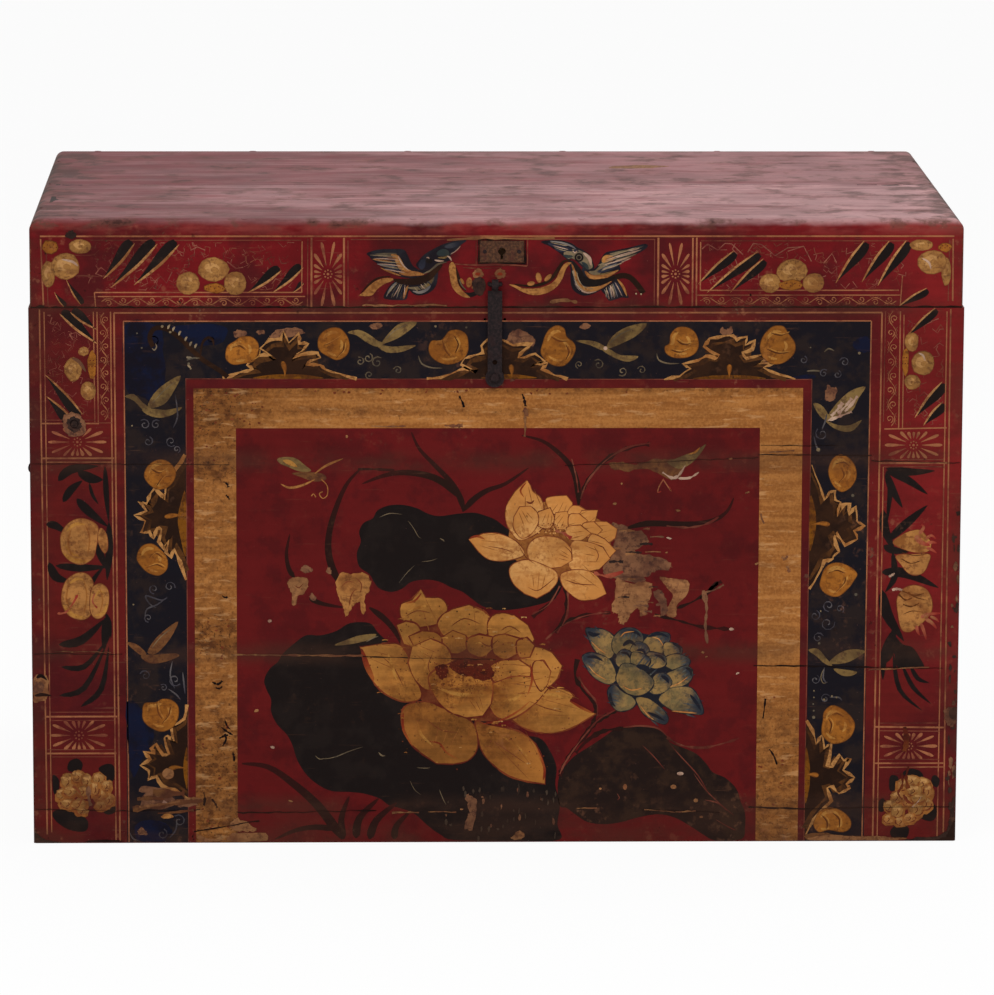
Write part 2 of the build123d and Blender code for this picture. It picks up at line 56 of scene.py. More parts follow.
# Camera, in the photograph's frame of 994 by 995 pixels
PHOTO_LONG_SIDE = 995
FOCAL_PIXELS = 6024.7
SENSOR = 36.0
CAMERA_AT = (-0.1302, FRONT - 5.2135, 1.2704)
CAMERA_DOWN = math.radians(10.418)
CAMERA_RIGHT = math.radians(1.4344)
CAMERA_ROLL = math.radians(0.187)


# Node helpers, and the numbers that all spots of wear and all paints share

SPOT_ROUGHNESS = 0.65
PAINT_GLOSS = 0.03


def put(tree, socket, value):
    """Links a socket to another, or sets its value."""
    if isinstance(value, bpy.types.NodeSocket):
        tree.links.new(value, socket)
    elif isinstance(value, tuple) and len(value) == 3 and socket.type == "RGBA":
        socket.default_value = (*value, 1.0)
    else:
        socket.default_value = value


class Tree:
    """Short names for the nodes of one tree."""

    def __init__(self, tree):
        self.tree = tree

    def add(self, kind, out=0, settings=None, **inputs):
        node = self.tree.nodes.new("ShaderNode" + kind)
        for key, value in (settings or {}).items():
            setattr(node, key, value)
        for key, value in inputs.items():
            socket = node.inputs[int(key[1:])] if key[0] == "_" else node.inputs[key]
            put(self.tree, socket, value)
        return node.outputs[out]

    def math(self, operation, a, b=0.0, clamp=False):
        return self.add("Math", settings={"operation": operation, "use_clamp": clamp}, _0=a, _1=b)

    def times(self, *values):
        """The product of values, kept between 0 and 1."""
        result = values[0]
        for value in values[1:]:
            result = self.math("MULTIPLY", result, value, clamp=True)
        return result

    def step(self, value, low, high):
        """0 at low, 1 at high, smooth between. High may be under low."""
        settings = {"interpolation_type": "SMOOTHSTEP"}
        if high < low:
            value = self.math("MULTIPLY", value, -1.0)
            low, high = -low, -high
        return self.add(
            "MapRange", settings=settings, Value=value, **{"From Min": low, "From Max": high}
        )

    def mix(self, factor, a, b):
        """Colour a where the factor is 0, and b where it is 1."""
        node = self.tree.nodes.new("ShaderNodeMix")
        node.data_type = "RGBA"
        for socket, value in ((node.inputs[0], factor), (node.inputs[6], a), (node.inputs[7], b)):
            put(self.tree, socket, value)
        return node.outputs[2]

    def noise(self, vector, scale, detail=3.0, roughness=0.55):
        return self.add("TexNoise", Vector=vector, Scale=scale, Detail=detail, Roughness=roughness)

    def stretched(self, vector, x, y, z):
        return self.add("VectorMath", settings={"operation": "MULTIPLY"}, _0=vector, _1=(x, y, z))

    def spots(self, vector, scale, low, high, detail=5.0):
        """A mask of noise above a threshold."""
        return self.step(self.noise(vector, scale, detail, SPOT_ROUGHNESS), low, high)

    def near(self, value, middle, reach):
        """1 at the middle, 0 further off than the reach."""
        away = self.math("ABSOLUTE", self.math("SUBTRACT", value, middle))
        return self.step(away, reach, 0.0)


def srgb(red, green, blue):
    """A colour from 0 to 255, as seen, in linear light."""
    return tuple(
        c / 12.92 if c <= 0.04045 else ((c + 0.055) / 1.055) ** 2.4
        for c in (red / 255, green / 255, blue / 255)
    )


# Colours under and on every paint. Dirt gathers within these metres of the seam, the board joints,
# the foot and the ends.
GROUND = srgb(140, 92, 66)
BARE_WOOD = srgb(88, 60, 46)
SOOT = srgb(24, 12, 10)
HAZE = srgb(150, 104, 92)
SEAM_DIRT = 0.012
JOINT_DIRT, JOINT_DIRT_SHIFT = 0.016, 0.002
FOOT_DIRT = 0.05
END_DIRT = (0.385, 0.412)


def make_ageing():
    """Node group: wears one paint colour, alike in every layer that lies at a place."""
    group = bpy.data.node_groups.new("ageing", "ShaderNodeTree")
    for name, kind, value in (
        ("Color", "NodeSocketColor", (0.5, 0.5, 0.5, 1.0)), ("Wear", "NodeSocketFloat", 0.5),
        ("Grime", "NodeSocketFloat", 0.5),
    ):
        socket = group.interface.new_socket(name, in_out="INPUT", socket_type=kind)
        socket.default_value = value
    for name, kind in (
        ("Color", "NodeSocketColor"), ("Roughness", "NodeSocketFloat"),
        ("Height", "NodeSocketFloat"),
    ):
        group.interface.new_socket(name, in_out="OUTPUT", socket_type=kind)
    t = Tree(group)
    source = group.nodes.new("NodeGroupInput")
    color, wear, grime = source.outputs["Color"], source.outputs["Wear"], source.outputs["Grime"]
    place = t.add("TexCoord", out=3)
    x, z = t.add("SeparateXYZ", Vector=place), t.add("SeparateXYZ", out=2, Vector=place)
    broad = t.noise(place, 5.5, 3.0)
    cloud = t.noise(place, 30.0, 5.0, 0.62)
    grain = t.noise(t.stretched(place, 7.0, 7.0, 150.0), 1.0, 5.0, 0.6)
    fine = t.noise(place, 320.0, 3.0, 0.6)
    # Brightness wanders with the brush, the grain and the years
    shade = t.math("ADD", t.math("MULTIPLY", cloud, 0.7), t.math("MULTIPLY", grain, 0.5))
    shade = t.math("ADD", shade, t.math("MULTIPLY", broad, 0.7))
    shade = t.math("ADD", shade, t.math("MULTIPLY", fine, 0.22))
    shade = t.step(shade, 0.78, 1.32)
    dark = t.mix(0.6, color, SOOT)
    aged = t.mix(t.times(t.math("SUBTRACT", 1.0, shade), grime), color, dark)
    # Dirt along the board joints, at the foot and at the rim
    joints = t.near(z, SEAM * MM, SEAM_DIRT)
    for height in BOARD_JOINTS:
        joint = t.near(z, height * MM + JOINT_DIRT_SHIFT, JOINT_DIRT)
        joints = t.math("MAXIMUM", joints, joint)
    foot = t.step(z, FOOT_DIRT, 0.0)
    ends = t.step(t.math("ABSOLUTE", x), *END_DIRT)
    dirt = t.math("MAXIMUM", t.math("MAXIMUM", joints, foot), ends)
    dirt = t.times(dirt, t.spots(t.stretched(place, 0.5, 0.5, 1.0), 26.0, 0.34, 0.62, 4.0), 0.68)
    aged = t.mix(dirt, aged, t.mix(0.45, t.mix(0.5, color, BARE_WOOD), SOOT))
    # Rubbed spots show the ground, and deeper chips the dirty wood
    place_wear = t.math("ADD", t.spots(place, 10.0, 0.5, 0.72, 3.0), t.times(dirt, 0.8))
    place_wear = t.times(place_wear, wear)
    rub = t.times(t.spots(place, 120.0, 0.56, 0.68), place_wear, 0.6)
    aged = t.mix(rub, aged, t.mix(0.35, GROUND, color))
    streak = t.times(t.spots(t.stretched(place, 26.0, 26.0, 420.0), 1.0, 0.64, 0.72), wear, 0.35)
    aged = t.mix(streak, aged, t.mix(0.5, GROUND, BARE_WOOD))
    chip = t.times(t.spots(place, 170.0, 0.63, 0.68), place_wear, 1.3)
    aged = t.mix(chip, aged, t.mix(t.spots(place, 60.0, 0.45, 0.55), SOOT, BARE_WOOD))
    speck = t.times(t.spots(place, 520.0, 0.74, 0.78, 2.0), wear, 0.5)
    aged = t.mix(speck, aged, HAZE)
    end = group.nodes.new("NodeGroupOutput")
    group.links.new(aged, end.inputs["Color"])
    rough = t.math("ADD", t.math("MULTIPLY", cloud, 0.25), t.math("MULTIPLY", chip, 0.25))
    group.links.new(t.math("ADD", rough, 0.42), end.inputs["Roughness"])
    height = t.math("ADD", t.math("MULTIPLY", grain, 0.5), t.math("MULTIPLY", cloud, 0.4))
    group.links.new(t.math("SUBTRACT", height, chip), end.inputs["Height"])
    return group


AGEING = make_ageing()


def new_material(name):
    material = bpy.data.materials.new(name)
    material.use_nodes = True
    material.node_tree.nodes.clear()
    return material, Tree(material.node_tree)


def surface(
    t, color, roughness, height=None, bump=0.3, distance=0.0004, metallic=0.0, specular=0.3
):
    """Ends a material with its shader."""
    shader = t.tree.nodes.new("ShaderNodeBsdfPrincipled")
    put(t.tree, shader.inputs["Base Color"], color)
    put(t.tree, shader.inputs["Roughness"], roughness)
    shader.inputs["Metallic"].default_value = metallic
    shader.inputs["Specular IOR Level"].default_value = specular
    if height is not None:
        normal = t.add("Bump", Strength=bump, Distance=distance, Height=height)
        t.tree.links.new(normal, shader.inputs["Normal"])
    end = t.tree.nodes.new("ShaderNodeOutputMaterial")
    t.tree.links.new(shader.outputs[0], end.inputs[0])


def aged_surface(t, color, wear, grime, bump=0.3):
    """Ends a paint's material with the shared ageing."""
    node = t.tree.nodes.new("ShaderNodeGroup")
    node.node_tree = AGEING
    put(t.tree, node.inputs["Color"], color)
    node.inputs["Wear"].default_value = wear
    node.inputs["Grime"].default_value = grime
    roughness, height = node.outputs["Roughness"], node.outputs["Height"]
    surface(t, node.outputs["Color"], roughness, height, bump, specular=PAINT_GLOSS)


# Paints, in colours from 0 to 255 as seen. The tip colour comes along a stroke or towards a petal's
# tip, the rim colour at a shape's edge, the deep colour in patches and the mottle in fine ones.
PAINTS = {
    "panel_red": dict(base=(90, 21, 21), deep=(78, 19, 20), wear=0.3, grime=0.45),
    "navy": dict(base=(20, 19, 25), deep=(36, 28, 27), wear=0.5, grime=0.4),
    "blue": dict(base=(15, 21, 42), deep=(16, 16, 26), wear=0.4, grime=0.6),
    "gold": dict(
        base=(168, 114, 60), deep=(128, 78, 38), mottle=(112, 66, 34), wear=0.6, grime=0.6
    ),
    "line": dict(base=(152, 94, 62), deep=(116, 60, 44), wear=1.0, grime=0.6),
    "dull_line": dict(base=(118, 62, 46), deep=(86, 36, 30), wear=1.0, grime=0.6),
    "crackle": dict(base=(138, 82, 66), deep=(108, 50, 44), wear=0.8, grime=0.6),
    "fruit": dict(
        base=(154, 94, 34), rim=(96, 54, 20), deep=(134, 78, 28), mottle=(106, 60, 24), grime=0.7,
    ),
    "fruit_light": dict(base=(178, 124, 58), deep=(146, 90, 38), mottle=(126, 76, 32)),
    "fruit_dark": dict(base=(80, 42, 18), deep=(104, 56, 24)),
    "leaf": dict(base=(34, 20, 13), deep=(46, 27, 16), wear=0.25, grime=0.4),
    "leaf_brown": dict(base=(86, 52, 24), deep=(58, 34, 18), mottle=(46, 28, 18), wear=0.4),
    "leaf_edge": dict(base=(178, 126, 72), deep=(146, 92, 46), mottle=(112, 68, 36), wear=0.7),
    "blade_gold": dict(base=(176, 124, 76), deep=(140, 88, 50), mottle=(110, 62, 38), wear=0.8),
    "mound": dict(base=(118, 70, 16), deep=(92, 50, 18), mottle=(66, 36, 16), wear=0.6),
    "black": dict(base=(23, 18, 17), deep=(29, 23, 21), wear=0.25, grime=0.3),
    "brown_black": dict(base=(31, 21, 18), deep=(46, 31, 23), wear=0.5, grime=0.4),
    "midnight": dict(base=(25, 22, 27), deep=(34, 33, 38), wear=0.2, grime=0.3),
    "reed": dict(base=(37, 19, 16), tip=(50, 18, 16), deep=(34, 20, 15), grime=0.4),
    "stem": dict(base=(112, 58, 44), tip=(92, 36, 30), deep=(74, 32, 26), wear=0.8),
    "olive": dict(base=(122, 96, 56), tip=(92, 72, 46), deep=(88, 68, 42), mottle=(78, 56, 38)),
    "brown": dict(base=(110, 70, 40), tip=(90, 50, 32), deep=(82, 48, 32), mottle=(70, 38, 28)),
    "cream": dict(
        base=(172, 116, 62), rim=(134, 80, 42), deep=(144, 90, 46), mottle=(112, 66, 36), grime=0.8,
    ),
    "blossom": dict(
        base=(160, 112, 60), rim=(122, 78, 42), deep=(134, 88, 46), mottle=(104, 64, 38), grime=0.8,
    ),
    "blossom_pale": dict(base=(182, 134, 80), deep=(148, 102, 56), mottle=(120, 78, 46), wear=0.7),
    "petal": dict(
        base=(206, 150, 88), tip=(188, 124, 62), rim=(154, 88, 42), deep=(182, 124, 66),
        mottle=(142, 84, 42), wear=0.6,
    ),
    "ochre_petal": dict(
        base=(166, 106, 46), tip=(180, 120, 56), rim=(138, 68, 28), deep=(132, 76, 30),
        mottle=(98, 50, 22), wear=0.6, grime=1.0,
    ),
    "ochre_low": dict(
        base=(146, 90, 38), tip=(158, 100, 44), rim=(108, 46, 24), deep=(118, 66, 28),
        mottle=(84, 42, 20), wear=0.6, grime=1.0,
    ),
    "heart_red": dict(base=(84, 30, 18), tip=(104, 50, 24), mottle=(52, 22, 16)),
    "red_tip": dict(base=(124, 44, 24), tip=(150, 80, 36), mottle=(96, 34, 20)),
    "vein_gold": dict(base=(150, 94, 44), deep=(122, 68, 32), mottle=(110, 58, 28), wear=0.8),
    "umber": dict(base=(98, 42, 24), deep=(122, 64, 36)),
    "petal_edge": dict(base=(92, 32, 22), deep=(120, 56, 30)),
    "blue_petal": dict(
        base=(144, 112, 66), tip=(42, 46, 53), rim=(84, 78, 60), deep=(108, 92, 60),
        mottle=(86, 74, 52),
    ),
    "blue_feather": dict(base=(42, 44, 55), tip=(32, 34, 44), deep=(60, 60, 64), wear=0.4),
    "blue_line": dict(base=(27, 29, 37), deep=(32, 30, 32), wear=0.4),
    "blue_vein": dict(
        base=(74, 74, 70), tip=(38, 43, 54), deep=(84, 84, 76), mottle=(44, 52, 64), wear=0.5
    ),
    "pale_blue": dict(base=(122, 112, 104), tip=(92, 88, 90), deep=(86, 82, 82), wear=0.5),
    "teal": dict(base=(42, 50, 50), tip=(50, 54, 50), deep=(34, 42, 44), wear=0.4),
    "curl": dict(base=(122, 104, 78), tip=(92, 78, 60), deep=(82, 74, 62), wear=0.8, grime=0.9),
    "feather": dict(base=(150, 128, 98), tip=(120, 100, 76), deep=(108, 94, 76), wear=0.5),
    "ghost": dict(base=(86, 80, 80), tip=(62, 58, 64), deep=(52, 48, 52), wear=0.9, grime=0.9),
    "vein": dict(base=(66, 54, 44), tip=(46, 36, 30), deep=(46, 36, 30), wear=0.6),
    "pale": dict(base=(180, 148, 126), tip=(154, 120, 100), deep=(136, 98, 82), wear=0.6),
    "blossom_pink": dict(
        base=(160, 80, 58), tip=(138, 44, 36), deep=(146, 96, 62), mottle=(126, 62, 42)
    ),
    "bare": dict(
        base=(128, 86, 60), tip=(100, 66, 48), deep=(96, 60, 44), mottle=(66, 40, 34), wear=1.0
    ),
    "bare_tan": dict(
        base=(158, 108, 68), tip=(130, 84, 52), deep=(122, 76, 48), mottle=(100, 60, 40), wear=1.0,
        grime=0.9,
    ),
    "smudge": dict(base=(46, 34, 30), deep=(66, 44, 36), mottle=(28, 20, 19), wear=1.0),
    "crack": dict(base=(16, 9, 8), deep=(30, 16, 13), wear=0.0, grime=0.4),
    "filler": dict(
        base=(142, 98, 60), tip=(108, 66, 44), deep=(96, 56, 40), mottle=(84, 46, 36), wear=0.9
    ),
}
USUAL_WEAR, USUAL_GRIME = 0.45, 0.6
MATERIALS = {}


def frame_paint():
    """Ochre of the frame round the panel: streaked, mottled and dirty along its outer edges."""
    material, t = new_material("frame_paint")
    place = t.add("TexCoord", out=3)
    x, z = t.add("SeparateXYZ", Vector=place), t.add("SeparateXYZ", out=2, Vector=place)
    grain = t.noise(t.stretched(place, 16.0, 1.0, 210.0), 1.0, 5.0, 0.62)
    fine = t.noise(place, 420.0, 4.0, 0.6)
    shade = t.math("ADD", t.math("MULTIPLY", grain, 0.55), t.math("MULTIPLY", fine, 0.45))
    color = t.mix(t.step(shade, 0.38, 0.62), srgb(138, 84, 39), srgb(170, 112, 58))
    # Dirt gathers in the upper left corner, in two belts on the left and low on both sides. Places
    # are in metres, and a step's ends give where a zone starts and where it is full.
    left = t.step(x, -0.2, -0.245)
    low = t.step(z, 0.16, 0.09)
    high = t.step(z, 0.4, 0.41)
    corner = t.times(t.step(x, -0.17, -0.25), t.step(z, 0.335, 0.38))
    belt = t.times(left, t.near(z, 0.186, 0.03))
    under = t.times(left, t.near(z, 0.336, 0.016))
    streak = t.times(t.near(z, 0.389, 0.008), t.step(x, 0.09, 0.02))
    dirt = t.math("ADD", t.times(left, 0.3), t.times(low, 0.46))
    for zone, amount in ((high, 0.5), (corner, 0.4), (belt, 0.75), (under, 0.5), (streak, 0.35)):
        dirt = t.math("ADD", dirt, t.times(zone, amount))
    dirt = t.math("ADD", dirt, 0.1)
    color = t.mix(
        t.times(dirt, t.spots(place, 30.0, 0.25, 0.6, 4.0), 0.75), color, srgb(100, 60, 28)
    )
    smear = t.spots(t.stretched(place, 0.8, 1.0, 1.0), 130.0, 0.42, 0.64, 5.0)
    color = t.mix(t.times(smear, dirt, 1.1), color, srgb(84, 48, 24))
    fleck = t.spots(place, 380.0, 0.55, 0.66, 3.0)
    color = t.mix(t.times(fleck, t.math("ADD", dirt, 0.05), 1.0), color, srgb(58, 34, 18))
    pale = t.spots(t.stretched(place, 0.2, 1.0, 1.0), 260.0, 0.56, 0.68, 4.0)
    color = t.mix(t.times(pale, 0.35), color, srgb(204, 156, 106))
    aged_surface(t, color, 0.5, 0.45)
    return material


def paint(name):
    """The material of a named paint."""
    if name in MATERIALS:
        return MATERIALS[name]
    if name == "frame":
        MATERIALS[name] = frame_paint()
        return MATERIALS[name]
    facts = PAINTS[name]
    tones = {key: srgb(*value) for key, value in facts.items() if key not in ("wear", "grime")}
    material, t = new_material(name + "_paint")
    place = t.add("TexCoord", out=3)
    wobble = t.math("SUBTRACT", t.noise(place, 150.0, 4.0), 0.5)
    patch = t.spots(place, 38.0, 0.46, 0.62, 4.0)
    color = t.mix(patch, tones["base"], tones.get("deep", tones["base"]))
    if "mottle" in tones:
        fine = t.times(t.spots(place, 300.0, 0.46, 0.62, 4.0), t.spots(place, 90.0, 0.32, 0.6, 3.0))
        color = t.mix(t.times(fine, 0.85), color, tones["mottle"])
        streak = t.spots(t.stretched(place, 0.22, 1.0, 1.0), 210.0, 0.54, 0.66, 4.0)
        color = t.mix(t.times(streak, 0.5), color, tones["mottle"])
    if "tip" in tones:
        along = t.add("Attribute", out=2, settings={"attribute_name": "along"})
        reach = t.math("ADD", along, t.math("MULTIPLY", wobble, 0.5))
        color = t.mix(t.step(reach, 0.3, 0.95), color, tones["tip"])
    if "rim" in tones:
        edge = t.add("Attribute", out=2, settings={"attribute_name": "edge"})
        reach = t.math("ADD", edge, t.math("MULTIPLY", wobble, 0.7))
        color = t.mix(t.step(reach, 0.35, 0.95), color, tones["rim"])
    tint = t.add("Attribute", out=2, settings={"attribute_name": "tint"})
    color = t.mix(t.math("MULTIPLY", tint, 0.22), color, t.mix(0.6, color, SOOT))
    aged_surface(t, color, facts.get("wear", USUAL_WEAR), facts.get("grime", USUAL_GRIME))
    MATERIALS[name] = material
    return material


# Shapes on a face

def smooth(points, closed=False, steps=5):
    """A Catmull-Rom curve through a few points."""
    count = len(points)
    if closed:
        at = lambda i: points[i % count]
        spans = count
    else:
        at = lambda i: points[min(max(i, 0), count - 1)]
        spans = count - 1
    curve = []
    for i in range(spans):
        p0, p1, p2, p3 = at(i - 1), at(i), at(i + 1), at(i + 2)
        for k in range(steps):
            u = k / steps
            curve.append(tuple(
                0.5 * (
                    2 * b + (c - a) * u + (2 * a - 5 * b + 4 * c - d) * u * u
                    + (3 * b - a - 3 * c + d) * u**3
                )
                for a, b, c, d in zip(p0, p1, p2, p3)
            ))
    if not closed:
        curve.append(points[-1])
    return curve


def ellipse(x, z, rx, rz, angle=0.0, count=16):
    """An oval outline."""
    c, s = math.cos(math.radians(angle)), math.sin(math.radians(angle))
    ring = []
    for i in range(count):
        turn = math.tau * i / count
        px, pz = rx * math.cos(turn), rz * math.sin(turn)
        ring.append((x + c * px - s * pz, z + s * px + c * pz))
    return ring


def spiral(x, z, radius, turns=1.3, start=0.0, flip=1):
    """A curl that opens from its middle."""
    count = max(6, round(9 * turns))
    path = []
    for i in range(count + 1):
        u = i / count
        angle = math.radians(start) + flip * math.tau * turns * u
        path.append((
            x + radius * (0.2 + 0.8 * u) * math.cos(angle),
            z + radius * (0.2 + 0.8 * u) * math.sin(angle)
        ))
    return path


def turn_at(a, b, c):
    return (b[0] - a[0]) * (c[1] - a[1]) - (c[0] - a[0]) * (b[1] - a[1])


def crosses_itself(ring):
    """True where two sides of a closed outline cross."""
    sides = list(zip(ring, ring[1:] + ring[:1]))
    for i, (a, b) in enumerate(sides):
        for c, d in sides[i + 2:len(sides) - (i == 0)]:
            if turn_at(a, b, c) * turn_at(a, b, d) < 0 and turn_at(c, d, a) * turn_at(c, d, b) < 0:
                return True
    return False


PROFILES = {
    "even": lambda u: 1.0,
    "taper": lambda u: max(0.15, math.sin(math.pi * u) ** 0.6),
    "leaf": lambda u: max(0.06, math.sin(math.pi * u ** 0.8) ** 0.9),
    "drop": lambda u: max(0.1, math.sin(math.pi * min(1.0, 0.12 + 0.83 * u) ** 2.2) ** 0.8),
    "brush": lambda u: max(0.12, min(1.0, 5 * u + 0.2) * (1 - u) ** 0.45),
    "worn": lambda u: 1.0,
}
PLANES = {
    "chest": lambda u, v, lift: (u * MM, FRONT - lift, v * MM),
    "lid": lambda u, v, lift: (u * MM, LID_FRONT - lift, v * MM),
    "top": lambda u, v, lift: (u * MM, FRONT + v * MM, LID_TOP * MM + lift),
}

# Millimetres that a film stands proud of its face. Each level of paint stands above the last, and
# each cell of a film above the one before, by less once a film has many.
FIRST_LIFT = 0.03
LEVEL_LIFT = 0.03
CELL_LIFT = 0.003
LATE_LIFT = 0.0012
EARLY_CELLS = 60
SUNK = -0.02

# Where a film stops short of its face's edges, in millimetres
SIDE_GAP = 0.6
FOOT_GAP = 0.3
TOP_HALF_LENGTH = 396.0
TOP_DEPTHS = (12.0, 476.0)

# Scattered cells start again from the film's first lift after this many, and later shapes of the
# film start at the rank above them
SCATTER_CELLS = 14
ABOVE_SCATTER = 20

# Specks over a flower share this many ranks in turn
SPECK_RANKS = 20

# How a shape's rough edge and its rim are tried again when the outline would cross itself
ROUGH_TRIES, ROUGH_STEP = 4, 0.5
RIM_TRIES, RIM_STEP = 8, 0.6
WIDEST_RIM = 0.3

# Millimetres from a drawn point within which a place counts as covered
COVER_REACH = 5


class Film:
    """Flat shapes gathered into one thin closed mesh of paint on a face of the trunk."""

    def __init__(self, name, level, plane="chest"):
        self.name = name
        self.plane = plane
        self.lift = FIRST_LIFT + LEVEL_LIFT * level
        self.verts = []
        self.faces = []
        self.tones = []
        self.inks = []
        self.face_inks = []
        self.cells = 0
        self.chance = random.Random(name)

    def cell(self, ink, points, faces, tones):
        """Adds flat faces over points, each with its (along, edge) tones."""
        if ink not in self.inks:
            self.inks.append(ink)
        first = len(self.verts)
        tint = self.chance.random()
        lift = (
            self.lift + CELL_LIFT * min(self.cells, EARLY_CELLS)
            + LATE_LIFT * max(self.cells - EARLY_CELLS, 0)
        )
        if self.plane == "chest":
            end = SIDE - SIDE_GAP
            points = [(min(max(u, -end), end), max(v, FOOT_GAP)) for u, v in points]
        elif self.plane == "lid":
            end = LID_SIDE - SIDE_GAP
            points = [(min(max(u, -end), end), v) for u, v in points]
        elif self.plane == "top":
            end, (near, far) = TOP_HALF_LENGTH, TOP_DEPTHS
            points = [(min(max(u, -end), end), min(max(v, near), far)) for u, v in points]
        self.verts += [(u, v, lift) for u, v in points]
        self.tones += [(along, edge, tint) for along, edge in tones]
        self.faces += [tuple(first + i for i in face) for face in faces]
        self.face_inks += [self.inks.index(ink)] * len(faces)
        self.cells += 1

    def restart(self, rank=0):
        """Goes back to a rank, for a motif that overlaps no cell drawn above that rank."""
        self.cells = rank

    def make_room(self):
        """Starts again once many scattered marks are drawn."""
        if self.cells > SCATTER_CELLS:
            self.restart()

    def shape(self, ink, outline, axis=None, rough=0.0, rim=1.6):
        """A filled outline, with its rim inside the edge. The axis gives a petal's base and tip."""
        count = len(outline)
        plain = list(outline)
        for _ in range(ROUGH_TRIES):
            outline = [
                (u + rough * (self.chance.random() - 0.5), v + rough * (self.chance.random() - 0.5))
                for u, v in plain
            ]
            if not crosses_itself(outline):
                break
            rough *= ROUGH_STEP
        area = sum(
            a[0] * b[1] - b[0] * a[1] for a, b in zip(outline, outline[1:] + outline[:1])
        ) / 2
        if area < 0:
            outline = outline[::-1]
        depth = min(rim, WIDEST_RIM * math.sqrt(abs(area) / math.pi))
        for _ in range(RIM_TRIES):
            inner = []
            for i, (u, v) in enumerate(outline):
                before, after = outline[i - 1], outline[(i + 1) % count]
                du, dv = after[0] - before[0], after[1] - before[1]
                length = math.hypot(du, dv) or 1.0
                inner.append((u - dv / length * depth, v + du / length * depth))
            if all(
                turn_at(outline[i], outline[(i + 1) % count], inner[(i + 1) % count]) > 0
                and turn_at(outline[i], inner[(i + 1) % count], inner[i]) > 0 for i in range(count)
            ) and not crosses_itself(inner):
                break
            depth *= RIM_STEP
        points = list(outline) + inner
        if axis:
            (u0, v0), (u1, v1) = axis
            square = (u1 - u0) ** 2 + (v1 - v0) ** 2
            reach = [((u - u0) * (u1 - u0) + (v - v0) * (v1 - v0)) / square for u, v in points]
        else:
            reach = [0.0] * (2 * count)
        tones = [(along, 1.0 if i < count else 0.0) for i, along in enumerate(reach)]
        faces = [(i, (i + 1) % count, count + (i + 1) % count, count + i) for i in range(count)]
        faces.append(tuple(range(count, 2 * count)))
        self.cell(ink, points, faces, tones)

    def soft(self, ink, points, axis=None, steps=4):
        """A filled smooth outline through a few points."""
        self.shape(ink, smooth(points, True, steps), axis)

    def ragged(self, ink, points, rough):
        """A filled patch with a rough edge."""
        self.shape(ink, smooth(points, True), rough=rough, rim=0.8)

    def petal(self, ink, line, points, width):
        """A smooth shape with a line round it."""
        self.soft(ink, points)
        self.ribbon(line, smooth(points, True, 4), width, "worn", True)

    def pointed(self, ink, line, points, base, width):
        """A petal that grows from a base and ends in a point."""
        far = max(range(len(points)), key=lambda i: math.dist(points[i], base))
        u, v = points[far]
        reach = math.dist(points[far], base)
        nose = (u + 1.6 * (u - base[0]) / reach, v + 1.6 * (v - base[1]) / reach)
        ring = smooth(points[far + 1:] + points[:far], False, 4) + [nose]
        self.shape(ink, ring, (base, nose))
        self.ribbon(line, ring, width, "worn", True)
        sides = (-0.24, 0.0, 0.24)
        self.veins(
            "vein_gold", base, nose, sides, ((0.5, 0.62, 0.5), (0.78, 0.92, 0.3)), 0.7, "taper"
        )

    def veins(self, ink, base, tip, sides, ends, width, profile):
        """Lines that run side by side along a petal, from its middle to near its tip.

        Each end has the least and most of its reach along the petal, and its spread.
        """
        du, dv = tip[0] - base[0], tip[1] - base[1]
        for side in sides:
            self.stroke(ink, [
                (
                    base[0] + du * reach - dv * side * spread,
                    base[1] + dv * reach + du * side * spread,
                )
                for reach, spread in [
                    (self.chance.uniform(low, high), spread) for low, high, spread in ends
                ]
            ], width, profile, 3)

    def box(self, ink, u0, u1, v0, v1):
        """A plain rectangle."""
        self.cell(ink, [(u0, v0), (u1, v0), (u1, v1), (u0, v1)], [(0, 1, 2, 3)], [(0.0, 0.0)] * 4)

    def ribbon(self, ink, path, width, profile="taper", closed=False):
        """A brush stroke along a path, as wide as its profile says."""
        count = len(path)
        points, tones, faces = [], [], []
        rows = count + 1 if closed else count
        for i in range(rows):
            u, v = path[i % count]
            if closed:
                before, after = path[(i - 1) % count], path[(i + 1) % count]
            else:
                before, after = path[max(i - 1, 0)], path[min(i + 1, count - 1)]
            du, dv = after[0] - before[0], after[1] - before[1]
            length = math.hypot(du, dv) or 1.0
            nu, nv = -dv / length, du / length
            along = i / (rows - 1)
            half = width / 2 * PROFILES[profile](along)
            if profile == "worn":
                half *= 0.25 + 1.1 * self.chance.random()
            bend = abs(turn_at(before, (u, v), after)) / 2
            sides = (math.dist(before, (u, v)), math.dist((u, v), after), math.dist(before, after))
            if bend > 0:
                half = min(half, 0.9 * sides[0] * sides[1] * sides[2] / (4 * bend))
            for side in (-1.0, 0.0, 1.0):
                points.append((u + nu * half * side, v + nv * half * side))
                tones.append((along, abs(side)))
        for i in range(rows - 1):
            for k in (0, 1):
                a = 3 * i + k
                faces.append((a, a + 3, a + 4, a + 1))
        self.cell(ink, points, faces, tones)

    def stroke(self, ink, points, width, profile="taper", steps=4):
        """A smooth stroke through a few points."""
        self.ribbon(ink, smooth(points, False, steps), width, profile)

    def line(self, ink, u0, v0, u1, v1, width, pieces):
        """A straight even line."""
        path = [(
            u0 + (u1 - u0) * i / pieces, v0 + (v1 - v0) * i / pieces
        ) for i in range(pieces + 1)]
        self.ribbon(ink, path, width, "even")

